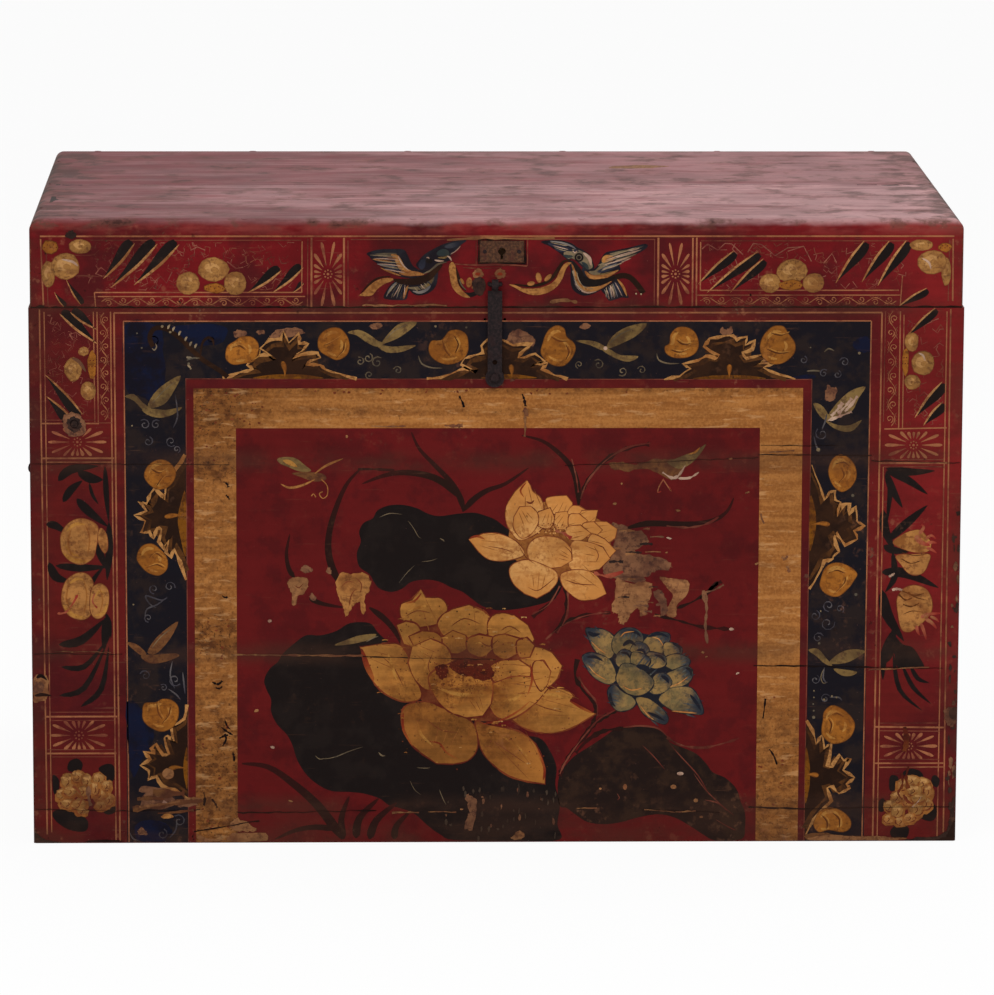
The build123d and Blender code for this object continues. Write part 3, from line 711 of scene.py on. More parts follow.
    def worn_line(self, ink, u0, v0, u1, v1, width, sway=0.8, step=6.0):
        """A broken irregular line, such as a crack between two boards."""
        count = max(3, round(math.hypot(u1 - u0, v1 - v0) / step))
        path = []
        for i in range(count + 1):
            s = i / count
            shift = sway * (self.chance.random() - 0.5)
            across = (abs(v1 - v0) > abs(u1 - u0))
            path.append((
                u0 + (u1 - u0) * s + shift * across, v0 + (v1 - v0) * s + shift * (not across)
            ))
        self.ribbon(ink, path, width, "worn")

    def covers(self, u, v):
        """True where a drawn point of the film lies close by."""
        return any(math.hypot(u - a, v - b) < COVER_REACH for a, b, _ in self.verts)

    def dot(self, ink, u, v, radius, sides=8):
        """A small round mark."""
        self.shape(ink, ellipse(u, v, radius, radius, count=sides))

    def done(self):
        """Builds the mesh: an outer sheet, an inner sheet and the walls between."""
        place = PLANES[self.plane]
        count = len(self.verts)
        outside = [place(u, v, lift * MM) for u, v, lift in self.verts]
        inside = [place(u, v, SUNK * MM) for u, v, _ in self.verts]
        used = set()
        outer = []
        for face in self.faces:
            turn = 0.0
            for a, b in zip(face, face[1:] + face[:1]):
                turn += self.verts[a][0] * self.verts[b][1] - self.verts[b][0] * self.verts[a][1]
            ring = face if turn > 0 else face[::-1]
            outer.append(ring)
            used.update(zip(ring, ring[1:] + ring[:1]))
        walls = [(b, a, a + count, b + count) for a, b in sorted(used) if (b, a) not in used]
        faces = outer + [tuple(i + count for i in face[::-1]) for face in outer] + walls
        mesh = bpy.data.meshes.new(self.name)
        mesh.from_pydata(outside + inside, [], faces)
        owner = dict(zip(range(count), [0] * count))
        for face, ink in zip(self.faces, self.face_inks):
            for i in face:
                owner[i] = ink
        slots = self.face_inks * 2 + [owner[wall[0]] for wall in walls]
        for ink in self.inks:
            mesh.materials.append(paint(ink))
        mesh.polygons.foreach_set("material_index", slots)
        for index, key in enumerate(("along", "edge", "tint")):
            attribute = mesh.attributes.new(key, "FLOAT", "POINT")
            attribute.data.foreach_set("value", [tone[index] for tone in self.tones] * 2)
        mesh.update()
        piece = bpy.data.objects.new(self.name, mesh)
        bpy.context.scene.collection.objects.link(piece)
        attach(piece, "lid" if self.plane in ("lid", "top") else "chest")
        return piece


# Board, wood and iron materials

# Metres: how deep paint reaches behind the outer faces, and how far below the lid's top its red
# front begins and ends where the pale top runs down the rounded edge as a painted highlight
PAINT_DEPTH = 0.0022
RAIL_SHOW = 0.001
TOP_FADE = (0.0066, 0.0008)
# Height and reach of a paler band over the rounded top edge: a painted highlight
LIP_HEIGHT, LIP_REACH = 0.5505, 0.009
RIM_DROP, RIM_REACH = 0.0035, 0.0075


def painted_board(name, outside, top=None):
    """Painted on the outer faces of the trunk, bare on the inner ones."""
    material, t = new_material(name)
    place = t.add("TexCoord", out=3)
    x, y, z = (t.add("SeparateXYZ", out=i, Vector=place) for i in range(3))
    middle = (FRONT + BACK) / 2
    across = t.math("SUBTRACT", t.math("ABSOLUTE", x), SIDE * MM - PAINT_DEPTH)
    back = t.math("ABSOLUTE", t.math("SUBTRACT", y, middle))
    back = t.math("SUBTRACT", back, (BACK - FRONT) / 2 - PAINT_DEPTH)
    reach = t.math("MAXIMUM", across, back)
    reach = t.math("MAXIMUM", reach, t.math("SUBTRACT", z, RAIL_TOP * MM + RAIL_SHOW))
    painted = t.math("GREATER_THAN", reach, 0.0)
    grain = t.noise(t.stretched(place, 9.0, 90.0, 90.0), 1.0, 5.0, 0.6)
    wood = t.mix(t.step(grain, 0.3, 0.72), srgb(84, 60, 44), srgb(130, 98, 72))
    color = t.mix(t.spots(place, 12.0, 0.42, 0.62, 4.0), outside, srgb(74, 20, 22))
    # The front's red is painted brighter towards its right end
    right_end_brighter = t.times(t.step(x, 0.3, 0.4), t.step(y, FRONT + 0.03, FRONT + 0.004))
    right_end_brighter = t.times(right_end_brighter, t.step(z, 0.09, 0.2))
    patchy = t.spots(place, 24.0, 0.3, 0.62, 4.0)
    color = t.mix(t.times(
        right_end_brighter, t.math("ADD", t.math("MULTIPLY", patchy, 0.5), 0.35)
    ), color, srgb(122, 29, 29))
    if top:
        # The pale top colour runs down over the rounded top edge with a wobbling boundary: painted
        # highlight where the rounding catches the light
        edge_wobble = t.noise(t.stretched(place, 0.6, 1.0, 1.0), 60.0, 4.0)
        edge_wobble = t.math("MULTIPLY", t.math("SUBTRACT", edge_wobble, 0.5), 0.005)
        height = t.math("ADD", z, edge_wobble)
        height = t.step(height, LID_TOP * MM - TOP_FADE[0], LID_TOP * MM - TOP_FADE[1])
        color = t.mix(height, color, top(t, place, x, y))
        # A paler, patchy band over the rounded top edge: painted highlight where the rounding
        # catches the light
        lip_highlight = t.near(z, LIP_HEIGHT, LIP_REACH)
        lip_highlight = t.times(lip_highlight, t.spots(t.stretched(place, 0.3, 1.0, 1.0), 60.0, 0.36, 0.62, 4.0))
        color = t.mix(t.times(lip_highlight, 0.6), color, srgb(140, 62, 56))
        # The rim is knocked down to dirty wood, most of all at its ends
        rim = t.near(z, LID_TOP * MM - RIM_DROP, RIM_REACH)
        ends = t.step(t.math("ABSOLUTE", x), 0.34, 0.4)
        rim = t.times(rim, t.math("ADD", t.math("MULTIPLY", ends, 0.22), 0.78))
        knocked = t.noise(t.stretched(place, 0.7, 0.7, 1.0), 46.0, 5.0, 0.62)
        knocked = t.math("ADD", knocked, t.math("MULTIPLY", ends, 0.12))
        color = t.mix(t.times(rim, t.step(knocked, 0.51, 0.6), 0.85), color, srgb(92, 62, 52))
        color = t.mix(t.times(rim, t.step(knocked, 0.6, 0.66), 0.85), color, srgb(40, 26, 24))
    color = t.mix(painted, wood, color)
    aged_surface(t, color, 0.8, 0.6, 0.35)
    return material


def lid_top_color(t, place, x, y):
    """Dusty red of the lid's top, rubbed pale in streaks along the boards. Its paleness is partly a
    painted sheen, and it is painted lighter towards the right.
    """
    streak = t.noise(t.stretched(place, 3.0, 46.0, 1.0), 1.0, 6.0, 0.66)
    fine = t.noise(t.stretched(place, 14.0, 200.0, 1.0), 1.0, 4.0, 0.6)
    blotch = t.noise(t.stretched(place, 1.0, 2.4, 1.0), 7.0, 5.0, 0.62)
    pale = t.math("ADD", t.math("MULTIPLY", streak, 0.5), t.math("MULTIPLY", fine, 0.35))
    pale = t.math("ADD", pale, t.math("MULTIPLY", blotch, 0.45))
    # Painted light: the top grows lighter towards the right, as if lit from that side
    pale = t.math("ADD", pale, t.math("MULTIPLY", x, 0.42))
    color = t.mix(t.step(pale, 0.4, 0.86), srgb(110, 64, 66), srgb(186, 144, 144))
    rose = t.spots(t.stretched(place, 9.0, 34.0, 1.0), 1.0, 0.5, 0.68, 5.0)
    color = t.mix(t.times(rose, 0.55), color, srgb(116, 54, 58))
    dust = t.spots(t.stretched(place, 26.0, 120.0, 1.0), 1.0, 0.6, 0.72, 4.0)
    color = t.mix(t.times(dust, 0.4), color, srgb(66, 44, 42))
    joint = FRONT + TOP_JOINT * MM
    behind = t.step(y, joint - 0.001, joint + 0.004)
    return t.mix(t.times(behind, 0.4), color, srgb(108, 50, 54))


body_red = painted_board("body_red", srgb(90, 24, 22))
lid_red = painted_board("lid_red", srgb(104, 20, 23), lid_top_color)


def wood_material():
    material, t = new_material("bare_wood")
    place = t.add("TexCoord", out=3)
    grain = t.noise(t.stretched(place, 9.0, 90.0, 90.0), 1.0, 6.0, 0.6)
    stain = t.noise(place, 14.0, 4.0)
    color = t.mix(t.step(grain, 0.3, 0.72), srgb(92, 68, 48), srgb(150, 118, 86))
    color = t.mix(t.math("MULTIPLY", t.step(stain, 0.5, 0.7), 0.5), color, srgb(60, 44, 34))
    surface(t, color, t.math("ADD", t.math("MULTIPLY", grain, 0.2), 0.6), grain, 0.4)
    return material


def iron_material(name, dark, light, rust, metallic):
    material, t = new_material(name)
    place = t.add("TexCoord", out=3)
    pits = t.noise(place, 420.0, 5.0, 0.65)
    patch = t.noise(place, 120.0, 4.0)
    color = t.mix(t.step(pits, 0.4, 0.66), dark, light)
    color = t.mix(t.math("MULTIPLY", t.step(patch, 0.5, 0.68), 0.6), color, rust)
    roughness = t.math("ADD", t.math("MULTIPLY", pits, 0.3), 0.5)
    surface(t, color, roughness, pits, 0.5, 0.0005, metallic, specular=0.12)
    return material


bare_wood = wood_material()
iron = iron_material("forged_iron", srgb(20, 13, 14), srgb(40, 28, 28), srgb(36, 19, 18), 0.1)
plate_iron = iron_material("plate_iron", srgb(54, 32, 21), srgb(88, 56, 36), srgb(66, 30, 24), 0.05)

for name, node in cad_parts.items():
    if name.startswith(("bottom_board", "bottom_batten")) or "cleat" in name or "pegs" in name:
        material = bare_wood
    elif name == "lid_nails":
        material = lid_red
    elif name == "lock_plate":
        material = plate_iron
    elif name.endswith(("_board", "_rail")):
        material = lid_red if name.startswith("lid") else body_red
    else:
        material = iron
    node.data.materials.clear()
    node.data.materials.append(material)


# Camera, floor and light

def make_camera():
    down, right = CAMERA_DOWN, CAMERA_RIGHT
    ahead = Vector((
        math.sin(right) * math.cos(down), math.cos(right) * math.cos(down), -math.sin(down)
    ))
    level = Vector((math.cos(right), -math.sin(right), 0.0))
    upright = level.cross(ahead)
    c, s = math.cos(CAMERA_ROLL), math.sin(CAMERA_ROLL)
    x_axis = level * c + upright * s
    y_axis = upright * c - level * s
    data = bpy.data.cameras.new("camera")
    data.sensor_width = SENSOR
    data.lens = FOCAL_PIXELS * SENSOR / PHOTO_LONG_SIDE
    data.clip_end = 100.0
    camera = bpy.data.objects.new("camera", data)
    turn = Matrix((x_axis, y_axis, -ahead)).transposed()
    camera.matrix_world = Matrix.Translation(CAMERA_AT) @ turn.to_4x4()
    bpy.context.scene.collection.objects.link(camera)
    bpy.context.scene.camera = camera


def seen_directly(t):
    """1 for rays that show the background itself: straight from the camera, mirrored or through."""
    path = t.tree.nodes.new("ShaderNodeLightPath")
    seen = t.math("MAXIMUM", path.outputs["Is Camera Ray"], path.outputs["Is Glossy Ray"])
    return t.math("MAXIMUM", seen, path.outputs["Is Transmission Ray"])


def floor_material(whiteness):
    """A pale floor that the camera sees nearly white, with a soft shadow left on it."""
    material, t = new_material("studio_floor")
    diffuse = t.tree.nodes.new("ShaderNodeBsdfDiffuse")
    diffuse.inputs["Color"].default_value = (0.8, 0.8, 0.8, 1.0)
    glow = t.tree.nodes.new("ShaderNodeEmission")
    glow.inputs["Strength"].default_value = 1.0
    both = t.tree.nodes.new("ShaderNodeMixShader")
    t.tree.links.new(t.math("MULTIPLY", seen_directly(t), whiteness), both.inputs[0])
    t.tree.links.new(diffuse.outputs[0], both.inputs[1])
    t.tree.links.new(glow.outputs[0], both.inputs[2])
    end = t.tree.nodes.new("ShaderNodeOutputMaterial")
    t.tree.links.new(both.outputs[0], end.inputs[0])
    return material


def area_light(name, at, to, size, power):
    data = bpy.data.lights.new(name, "AREA")
    data.shape = "RECTANGLE"
    data.size, data.size_y = size
    data.energy = power
    lamp = bpy.data.objects.new(name, data)
    lamp.location = at
    lamp.rotation_euler = (Vector(to) - Vector(at)).to_track_quat("-Z", "Y").to_euler()
    bpy.context.scene.collection.objects.link(lamp)


# The floor: half its side and its drop below the trunk, in metres, and how white it is seen
FLOOR_REACH = 30
FLOOR_DROP = 0.0005
FLOOR_WHITENESS = 0.94

# The world's light on the object, and its strength where it is seen directly
WORLD_LIGHT, WORLD_SEEN = 0.5, 1.0

# Lamps: name, place, the point they face, size in metres and power in watts
LAMPS = (
    ("key", (-1.4, -3.0, 2.6), (0.0, 0.0, 0.25), (2.4, 2.4), 62.0),
    ("fill", (2.2, -2.8, 1.6), (0.0, 0.0, 0.25), (2.4, 2.0), 34.0),
    ("above", (0.8, 0.6, 3.0), (0.0, 0.0, 0.4), (2.6, 1.6), 34.0),
)


def make_studio():
    mesh = bpy.data.meshes.new("floor")
    corners = [
        (x * FLOOR_REACH, y * FLOOR_REACH, 0) for x, y in ((-1, -1), (1, -1), (1, 1), (-1, 1))
    ]
    mesh.from_pydata(corners, [], [(0, 1, 2, 3)])
    mesh.materials.append(floor_material(FLOOR_WHITENESS))
    floor = bpy.data.objects.new("floor", mesh)
    floor.location.z = -FLOOR_DROP
    bpy.context.scene.collection.objects.link(floor)
    world = bpy.data.worlds.new("studio")
    bpy.context.scene.world = world
    world.use_nodes = True
    world.node_tree.nodes.clear()
    t = Tree(world.node_tree)
    shades = []
    for strength in (WORLD_LIGHT, WORLD_SEEN):
        shade = t.tree.nodes.new("ShaderNodeBackground")
        shade.inputs["Color"].default_value = (1.0, 1.0, 1.0, 1.0)
        shade.inputs["Strength"].default_value = strength
        shades.append(shade)
    both = t.tree.nodes.new("ShaderNodeMixShader")
    t.tree.links.new(seen_directly(t), both.inputs[0])
    t.tree.links.new(shades[0].outputs[0], both.inputs[1])
    t.tree.links.new(shades[1].outputs[0], both.inputs[2])
    end = t.tree.nodes.new("ShaderNodeOutputWorld")
    t.tree.links.new(both.outputs[0], end.inputs[0])
    for lamp in LAMPS:
        area_light(*lamp)


make_camera()
make_studio()
bpy.context.scene.view_settings.view_transform = "Standard"


# Levels of paint, from the ground up
GROUND_LEVEL, BAND_LEVEL, LINE_LEVEL, DARK_LEVEL, MOTIF_LEVEL, WEAR_LEVEL = 0, 1, 2, 3, 5, 14


def strokes(film, ink, rows, profile="leaf", scale=1.0):
    """Several strokes of one paint, each a width and its points."""
    for width, *points in rows:
        film.stroke(ink, points, scale * width, profile)


def dash(film, ink, u, v, length, width, steps):
    """A short level stroke with a slight rise in its middle."""
    film.stroke(ink, [(u, v), (u + length / 2, v + 0.4), (u + length, v)], width, "worn", steps)


def patches(film, rows):
    """Several rough-edged patches, each a paint, a roughness and its points."""
    for ink, rough, *points in rows:
        film.ragged(ink, points, rough)


def fills(film, rows):
    """Several smooth shapes, each a paint and its points."""
    for ink, *points in rows:
        film.soft(ink, points)


def paint_grounds():
    for name, level, ink, boxes in (
        ("panel_ground", GROUND_LEVEL, "panel_red", [(-266, 269, 0.5, 409)]),
        ("ochre_frame", BAND_LEVEL, "frame", [
            (-266, 269, 373.6, 409), (-266, -229, 0.5, 373.8), (231.5, 269, 0.5, 373.8),
        ]),
        ("navy_band", BAND_LEVEL, "navy", [
            (-327, 328, 417, 468), (-327, -273, 0.5, 417.2), (276, 328, 0.5, 417.2),
        ]),
    ):
        film = Film(name, level)
        for edges in boxes:
            film.box(ink, *edges)
        film.done()
    film = Film("blue_corners", LINE_LEVEL)
    patches(film, [
        ("blue", 1.6, (-325.5, 465), (-296, 464), (-292, 440), (-290, 422), (-297, 395),
         (-312, 402), (-325.5, 410)),
        ("blue", 1.6, (-284, 464), (-240, 465), (-240, 450), (-260, 447), (-277, 454)),
        ("blue", 2, (312, 448), (320, 455), (327, 452), (327, 442), (318, 441)),
        ("blue", 1, (255, 418), (276, 421), (279, 417.5), (262, 417.5)),
        ("blue", 2, (-326, 128), (-312, 120), (-303, 98), (-312, 78), (-322, 60), (-326, 90)),
        ("blue", 2, (-318, 18), (-298, 20), (-288, 12), (-296, 2), (-318, 2)),
    ])
    film.done()


# Border lines thinner than this are drawn duller, and all of them a little wider than listed
DULL_WIDTH = 0.75
LINE_WIDENING = 1.2


def border_lines(film, pieces, rows):
    """Straight lines, each two ends and a width."""
    for *ends, width in rows:
        film.line(
            "line" if width > DULL_WIDTH else "dull_line", *ends, LINE_WIDENING * width, pieces
        )


def paint_borders():
    """The thin ochre lines that frame each part of the front."""
    film = Film("lid_border_lines", LINE_LEVEL, "lid")
    border_lines(film, 14, [
        (-399, 543.3, 400, 543.3, 1.2), (-355, 539.8, -171, 539.8, 0.7),
        (-128, 540.5, -40, 540.5, 0.7), (26, 540.5, 138, 540.5, 0.7), (178, 539.2, 360, 539.2, 0.7),
        (-398.5, 541, -396.5, 482, 1.1), (-394, 540, -392.5, 482, 0.6), (399, 541, 399.5, 486, 1.1),
        (396, 540, 395.5, 486, 0.6), (-352, 493.8, -171, 493.8, 0.9),
        (-349, 490.2, -168, 490.2, 0.8), (-352, 493.8, -351, 481, 0.8),
        (-170.5, 538.8, -171, 493.8, 0.9), (-165.5, 541, -166, 481, 0.7),
        (-162.3, 542, -162.5, 481, 1.4), (-134, 542, -134, 481, 1.4),
        (-130.5, 539.5, -130.5, 481, 0.6), (137.5, 540, 137.5, 481, 0.6),
        (140.8, 542, 140.8, 481, 1.4), (171, 542, 171, 481, 1.2), (174.4, 542, 174.4, 481, 1.2),
        (177.8, 538.2, 177.8, 495.5, 0.9), (177.8, 495.5, 352, 495.5, 0.9),
        (175, 491.2, 354, 491.2, 0.8), (355, 508, 353.5, 482, 0.8),
    ])
    film.done()
    film = Film("body_border_lines", LINE_LEVEL)
    border_lines(film, 20, [
        (-335, 476, 337.5, 476, 1.2), (-335, 476, -333.5, 1, 1.2), (337.5, 476, 336, 1, 1.2),
        (-326.8, 468.6, 328, 468.6, 0.9), (-326.8, 468.6, -325.5, 1, 0.9),
        (328.2, 468.6, 326.5, 1, 0.9), (-273, 417.6, 276.5, 416.6, 0.6),
        (-272.6, 417.6, -272.6, 1, 0.6), (276.6, 416.6, 274.6, 1, 0.6), (-400, 479, -398, 8, 1.1),
        (-396, 477, -394, 10, 0.8), (-353, 477, -352.5, 379, 0.8), (-349.8, 477, -349.5, 379, 0.9),
        (-338, 477, -337, 2, 1.0), (-400, 378, -349, 378, 1.1), (-397, 381, -352, 381, 0.6),
        (-349, 378.5, -337, 378.5, 0.6), (-399.5, 347, -336, 347, 1.3),
        (-395, 343.6, -337, 343.6, 0.8), (-394, 119, -338, 119, 0.6), (-398, 115, -335, 115, 1.3),
        (-393, 111.5, -338, 111.5, 0.6), (-397, 85, -338, 85, 0.6), (-398, 81.6, -336, 81.6, 1.3),
        (-393, 78.5, -338, 78.5, 0.5), (340.5, 477, 340, 379, 0.7), (353.6, 477, 353.6, 372, 0.9),
        (356.8, 474, 357, 372, 0.8), (394.6, 477, 393.5, 2, 0.9), (397.8, 479, 399, 8, 1.1),
        (341, 372.4, 396, 373.4, 1.0), (338, 342, 397, 342, 1.5), (341, 345, 394, 345, 0.7),
        (340.6, 338.6, 340, 2, 0.8), (341, 338.6, 393, 338.6, 0.7), (341, 107.5, 392, 107.5, 0.6),
        (336, 104.2, 398, 103.4, 1.3), (341, 100.6, 394, 100, 0.7), (337, 71, 398, 71, 1.1),
        (341, 74.5, 394, 74.5, 0.6), (341, 67.3, 398, 67.5, 0.9),
    ])
    film.done()


def rosette(film, u, v, reach_u, reach_v, petals=16):
    """Rays round a dotted middle, drawn to fill a box."""
    film.restart()
    for i in range(petals):
        turn = math.tau * (i + 0.5 * (reach_u < reach_v)) / petals
        cu, cv = math.cos(turn), math.sin(turn)
        stretch = 1 / max(
            abs(cu) / reach_u, abs(cv) / reach_v, math.hypot(cu / reach_u, cv / reach_v) * 0.86
        )
        inner = 0.36 * min(reach_u, reach_v) + 0.1 * stretch
        film.stroke("line", [
            (u + inner * cu, v + inner * cv), (u + 0.94 * stretch * cu, v + 0.94 * stretch * cv)
        ], film.chance.uniform(2.2, 3.1), "drop", 6)
    for i in range(8):
        turn = math.tau * i / 8
        reach = 0.26 * min(reach_u, reach_v)
        film.dot("line", u + reach * math.cos(turn), v + reach * math.sin(turn), 0.8, 6)
    film.dot("line", u, v, 1.2, 6)


def paint_rosettes():
    for name, plane, places in (
        ("lid_rosettes", "lid", [(-148, 510, 13, 30), (156, 510, 13, 29)]),
        ("body_rosettes", "chest", [(-368, 361.5, 27, 13), (-369, 98, 27, 14), (367, 358, 27, 12.5),
         (367, 86.5, 27, 12.5)]),
    ):
        film = Film(name, LINE_LEVEL, plane)
        for place in places:
            rosette(film, *place)
        film.done()


def scrolls(film, points_at, length, pitch, width):
    """A running scroll: curls on either side of a wave."""
    count = round(length / pitch)
    pitch = length / count
    wave = []
    for i in range(4 * count + 1):
        s = i / 4
        wave.append(points_at(s * pitch, width * 0.3 * math.sin(math.pi * s)))
    film.stroke("line", wave, 0.85, "worn", 2)
    for i in range(count):
        side = 1 if i % 2 == 0 else -1
        s = (i + 0.5) * pitch
        turns = spiral(0, 0, width * 0.34, 1.2, 90 if side > 0 else 270, side)
        film.ribbon("line", [
            points_at(s + a, -side * width * 0.14 + b) for a, b in turns
        ], 0.9, "worn")
        for shift in (-0.42, 0.1):
            film.stroke("dull_line", [
                points_at(s + shift * pitch, side * width * 0.44),
                points_at(s + (shift + 0.2) * pitch, side * width * 0.3),
                points_at(s + (shift + 0.32) * pitch, side * width * 0.45)
            ], 0.8, "taper", 3)


def paint_scrolls():
    film = Film("lid_scrolls", LINE_LEVEL, "lid")
    scrolls(film, lambda s, w: (-346 + s, 485.6 + w), 176, 12.5, 9.4)
    scrolls(film, lambda s, w: (178 + s, 486.2 + w), 172, 12.5, 9.4)
    film.done()
    film = Film("body_scrolls", LINE_LEVEL)
    scrolls(film, lambda s, w: (-343.8 + w, 381 + s), 95, 12, 9.8)
    scrolls(film, lambda s, w: (347 + w, 375 + s), 102, 12, 10.6)
    film.done()


def zigzags(film, u0, u1, v0, v1, count, keep_clear):
    """Cracked ice: short bent lines at sharp angles, clear of the flowers."""
    film.restart()
    for _ in range(count):
        u = u0 + (u1 - u0) * film.chance.random()
        v = v0 + (v1 - v0) * film.chance.random()
        if any(math.hypot((u - cu) / ru, (v - cv) / rv) < 1 for cu, cv, ru, rv in keep_clear):
            continue
        angle = film.chance.uniform(0, 360)
        path = [(u, v)]
        for _ in range(film.chance.choice((2, 2, 3))):
            length = film.chance.uniform(2.5, 7)
            u = min(max(u + length * math.cos(math.radians(angle)), u0), u1)
            v = min(max(v + length * math.sin(math.radians(angle)), v0), v1)
            path.append((u, v))
            angle += film.chance.choice((-1, 1)) * film.chance.uniform(60, 120)
        film.make_room()
        film.ribbon(
            film.chance.choice(("crackle", "dull_line")), path, film.chance.uniform(0.4, 0.8),
            "worn"
        )


def paint_cracked_ice():
    film = Film("lid_cracked_ice", BAND_LEVEL, "lid")
    zigzags(film, -357, -174, 496, 538, 150, [(-248, 506, 24, 14)])
    zigzags(film, 181, 358, 497, 537, 140, [(258, 508, 26, 15)])
    for width, *path in (
        (0.9, (179, 532), (184, 536.5), (193, 531), (199, 537), (205, 536.5), (215, 527)),
        (0.9, (219, 529), (224, 537), (231, 536), (236, 532), (243, 526), (254, 533), (267, 534)),
        (0.9, (254, 530), (268, 534.5), (275, 521)),
        (0.8, (200, 519), (208, 524), (212, 512), (205, 510)),
        (0.8, (286, 520), (293, 528), (297, 520)),
        (0.8, (-351, 510), (-346, 516), (-340, 511), (-334, 520)),
        (0.8, (-268, 531), (-262, 534), (-255, 531)),
        (0.8, (-300, 502), (-294, 508), (-289, 502), (-284, 512)),
        (0.9, (-236, 521), (-228, 515), (-222, 516)),
    ):
        film.ribbon("crackle", path, width, "even")
    film.done()
    film = Film("body_cracked_ice", BAND_LEVEL)
    zigzags(film, -393, -356, 384, 474, 84, [(-364, 428, 10, 22)])
    zigzags(film, 360, 392, 376, 474, 76, [(368, 434, 10, 20)])
    film.done()


def slashes(film, strokes, gold_side):
    """Slanting bamboo blades: a black blade with a thin gold edge along one side."""
    for u0, v0, u1, v1, width in strokes:
        film.restart()
        du, dv = u1 - u0, v1 - v0
        length = math.hypot(du, dv)
        nu, nv = -dv / length, du / length
        shift = gold_side * width * 0.46
        film.stroke("black", [
            (u0, v0), ((u0 + u1) / 2 - nu * 0.6, (v0 + v1) / 2), (u1, v1)
        ], 1.12 * width, "drop", 5)
        film.stroke("blade_gold", [
            (u0 - du * 0.1, v0 - dv * 0.1),
            ((u0 + u1) / 2 + nu * shift, (v0 + v1) / 2 + nv * shift),
            (u1 + nu * shift, v1 + nv * shift)
        ], width * 0.26, "taper", 5)


def paint_slashes():
    film = Film("lid_blades", DARK_LEVEL, "lid")
    slashes(film, [
        (-342, 509, -320, 539.5, 9), (-334, 502, -300, 539.5, 9.5), (-314, 504, -281, 539, 9.5),
        (-216, 495.5, -191, 516, 8), (-194, 496, -172, 518, 7.5), (-178, 494.5, -170.5, 503, 4),
        (-375, 503, -362, 484, 5), (-386, 493, -377, 482, 4),
    ], -1)
    slashes(film, [
        (179, 503.5, 209, 528, 7), (188, 496.5, 230, 527, 7.5), (207, 496, 235, 521, 7),
        (299, 505, 324, 537, 8), (322, 506, 346, 537, 8), (336, 503, 361, 537.5, 8),
        (354, 482, 378, 495, 6),
    ], 1)
    film.done()
    film = Film("body_blades", DARK_LEVEL)
    slashes(film, [
        (-352, 463, -371, 479, 7), (-352, 451, -380, 478, 8),
    ], 1)
    slashes(film, [
        (-393, 418, -366, 384, 7.5), (-393, 400, -373, 377, 7.5), (361, 456, 386, 478, 6),
        (370, 385, 394, 412, 8), (377, 377, 394, 394, 7),
    ], 1)
    film.done()


def blossom(film, petals, heart):
    """Soft round petals about a darker heart."""
    film.restart()
    for u, v, ru, rv in petals:
        film.shape("blossom", ellipse(u, v, 1.1 * ru, 1.08 * rv, count=13), rough=0.9)
        film.shape("blossom_pale", ellipse(
            u - ru * 0.12, v + rv * 0.12, ru * 0.55, rv * 0.5, count=8
        ), rough=1.6)
        film.shape("blossom", ellipse(
            u + ru * 0.1, v - rv * 0.05, ru * 0.3, rv * 0.26, count=7
        ), rough=1.0)
    u, v, ru, rv = heart
    film.shape("fruit", ellipse(u, v, ru, rv, count=9), rough=1.2)
    for i in range(5):
        film.dot("umber", u + ru * (0.35 * i - 0.7), v + rv * (0.3 if i % 2 else -0.1), 0.7, 5)


def paint_blossoms():
    film = Film("lid_blossoms", MOTIF_LEVEL, "lid")
    for petals, heart in (
        ([(-270, 502, 9.5, 9.5), (-229, 502, 9, 9.5), (-248, 514, 12.5, 10)],
         (-247, 497.5, 10, 4.5)),
        ([(239, 502, 8.5, 8), (277, 502, 8.5, 8.2), (258, 512.5, 12.5, 10)], (257, 500, 11, 5)),
        ([(-364, 534.5, 9, 6), (-392, 510, 5.5, 11), (-377, 517, 11.5, 11)], (-390, 534, 7.5, 6)),
        ([(371, 535.5, 9.5, 4.5), (393.5, 512, 4, 12), (381, 520.5, 12, 10)], (392, 533.5, 6, 4.5)),
    ):
        blossom(film, petals, heart)
    strokes(film, "pale", [
        (2.2, (-380, 523), (-371, 521), (-366, 517)), (1.8, (372, 524), (378, 520), (380, 514)),
    ], "taper")
    film.done()
    film = Film("body_blossoms", MOTIF_LEVEL)
    for petals, heart in (
        ([(-362, 442, 4.5, 4), (-371, 426, 7, 10), (-358, 407, 6, 8)], (-354.5, 430, 4, 13)),
        ([(364, 450, 5.5, 8), (374, 431, 9.5, 10), (365, 414, 6.5, 6.5)], (358.5, 432, 3.4, 13)),
    ):
        blossom(film, petals, heart)
    film.stroke("pale", [(370, 440), (374, 438), (376, 433)], 1.8, "taper")
    film.stroke("bare", [(-372, 436), (-366, 433), (-360, 424)], 3.2, "taper")
    film.done()


def barbs(film, tip_a, tip_b, root_a, root_b, count):
    """Fine lines that fan from a wing's root to its tips, light and dark in turn."""
    for i in range(count):
        s = (i + 0.5) / count
        tip = (tip_a[0] + (tip_b[0] - tip_a[0]) * s, tip_a[1] + (tip_b[1] - tip_a[1]) * s)
        root = (root_a[0] + (root_b[0] - root_a[0]) * s, root_a[1] + (root_b[1] - root_a[1]) * s)
        sag = film.chance.uniform(-0.8, 0.8)
        middle = ((tip[0] + root[0]) / 2, (tip[1] + root[1]) / 2 + sag)
        film.stroke(
            ("feather", "blue_feather", "pale")[i % 3], [root, middle, tip],
            film.chance.uniform(0.7, 1.1), "taper", 3
        )


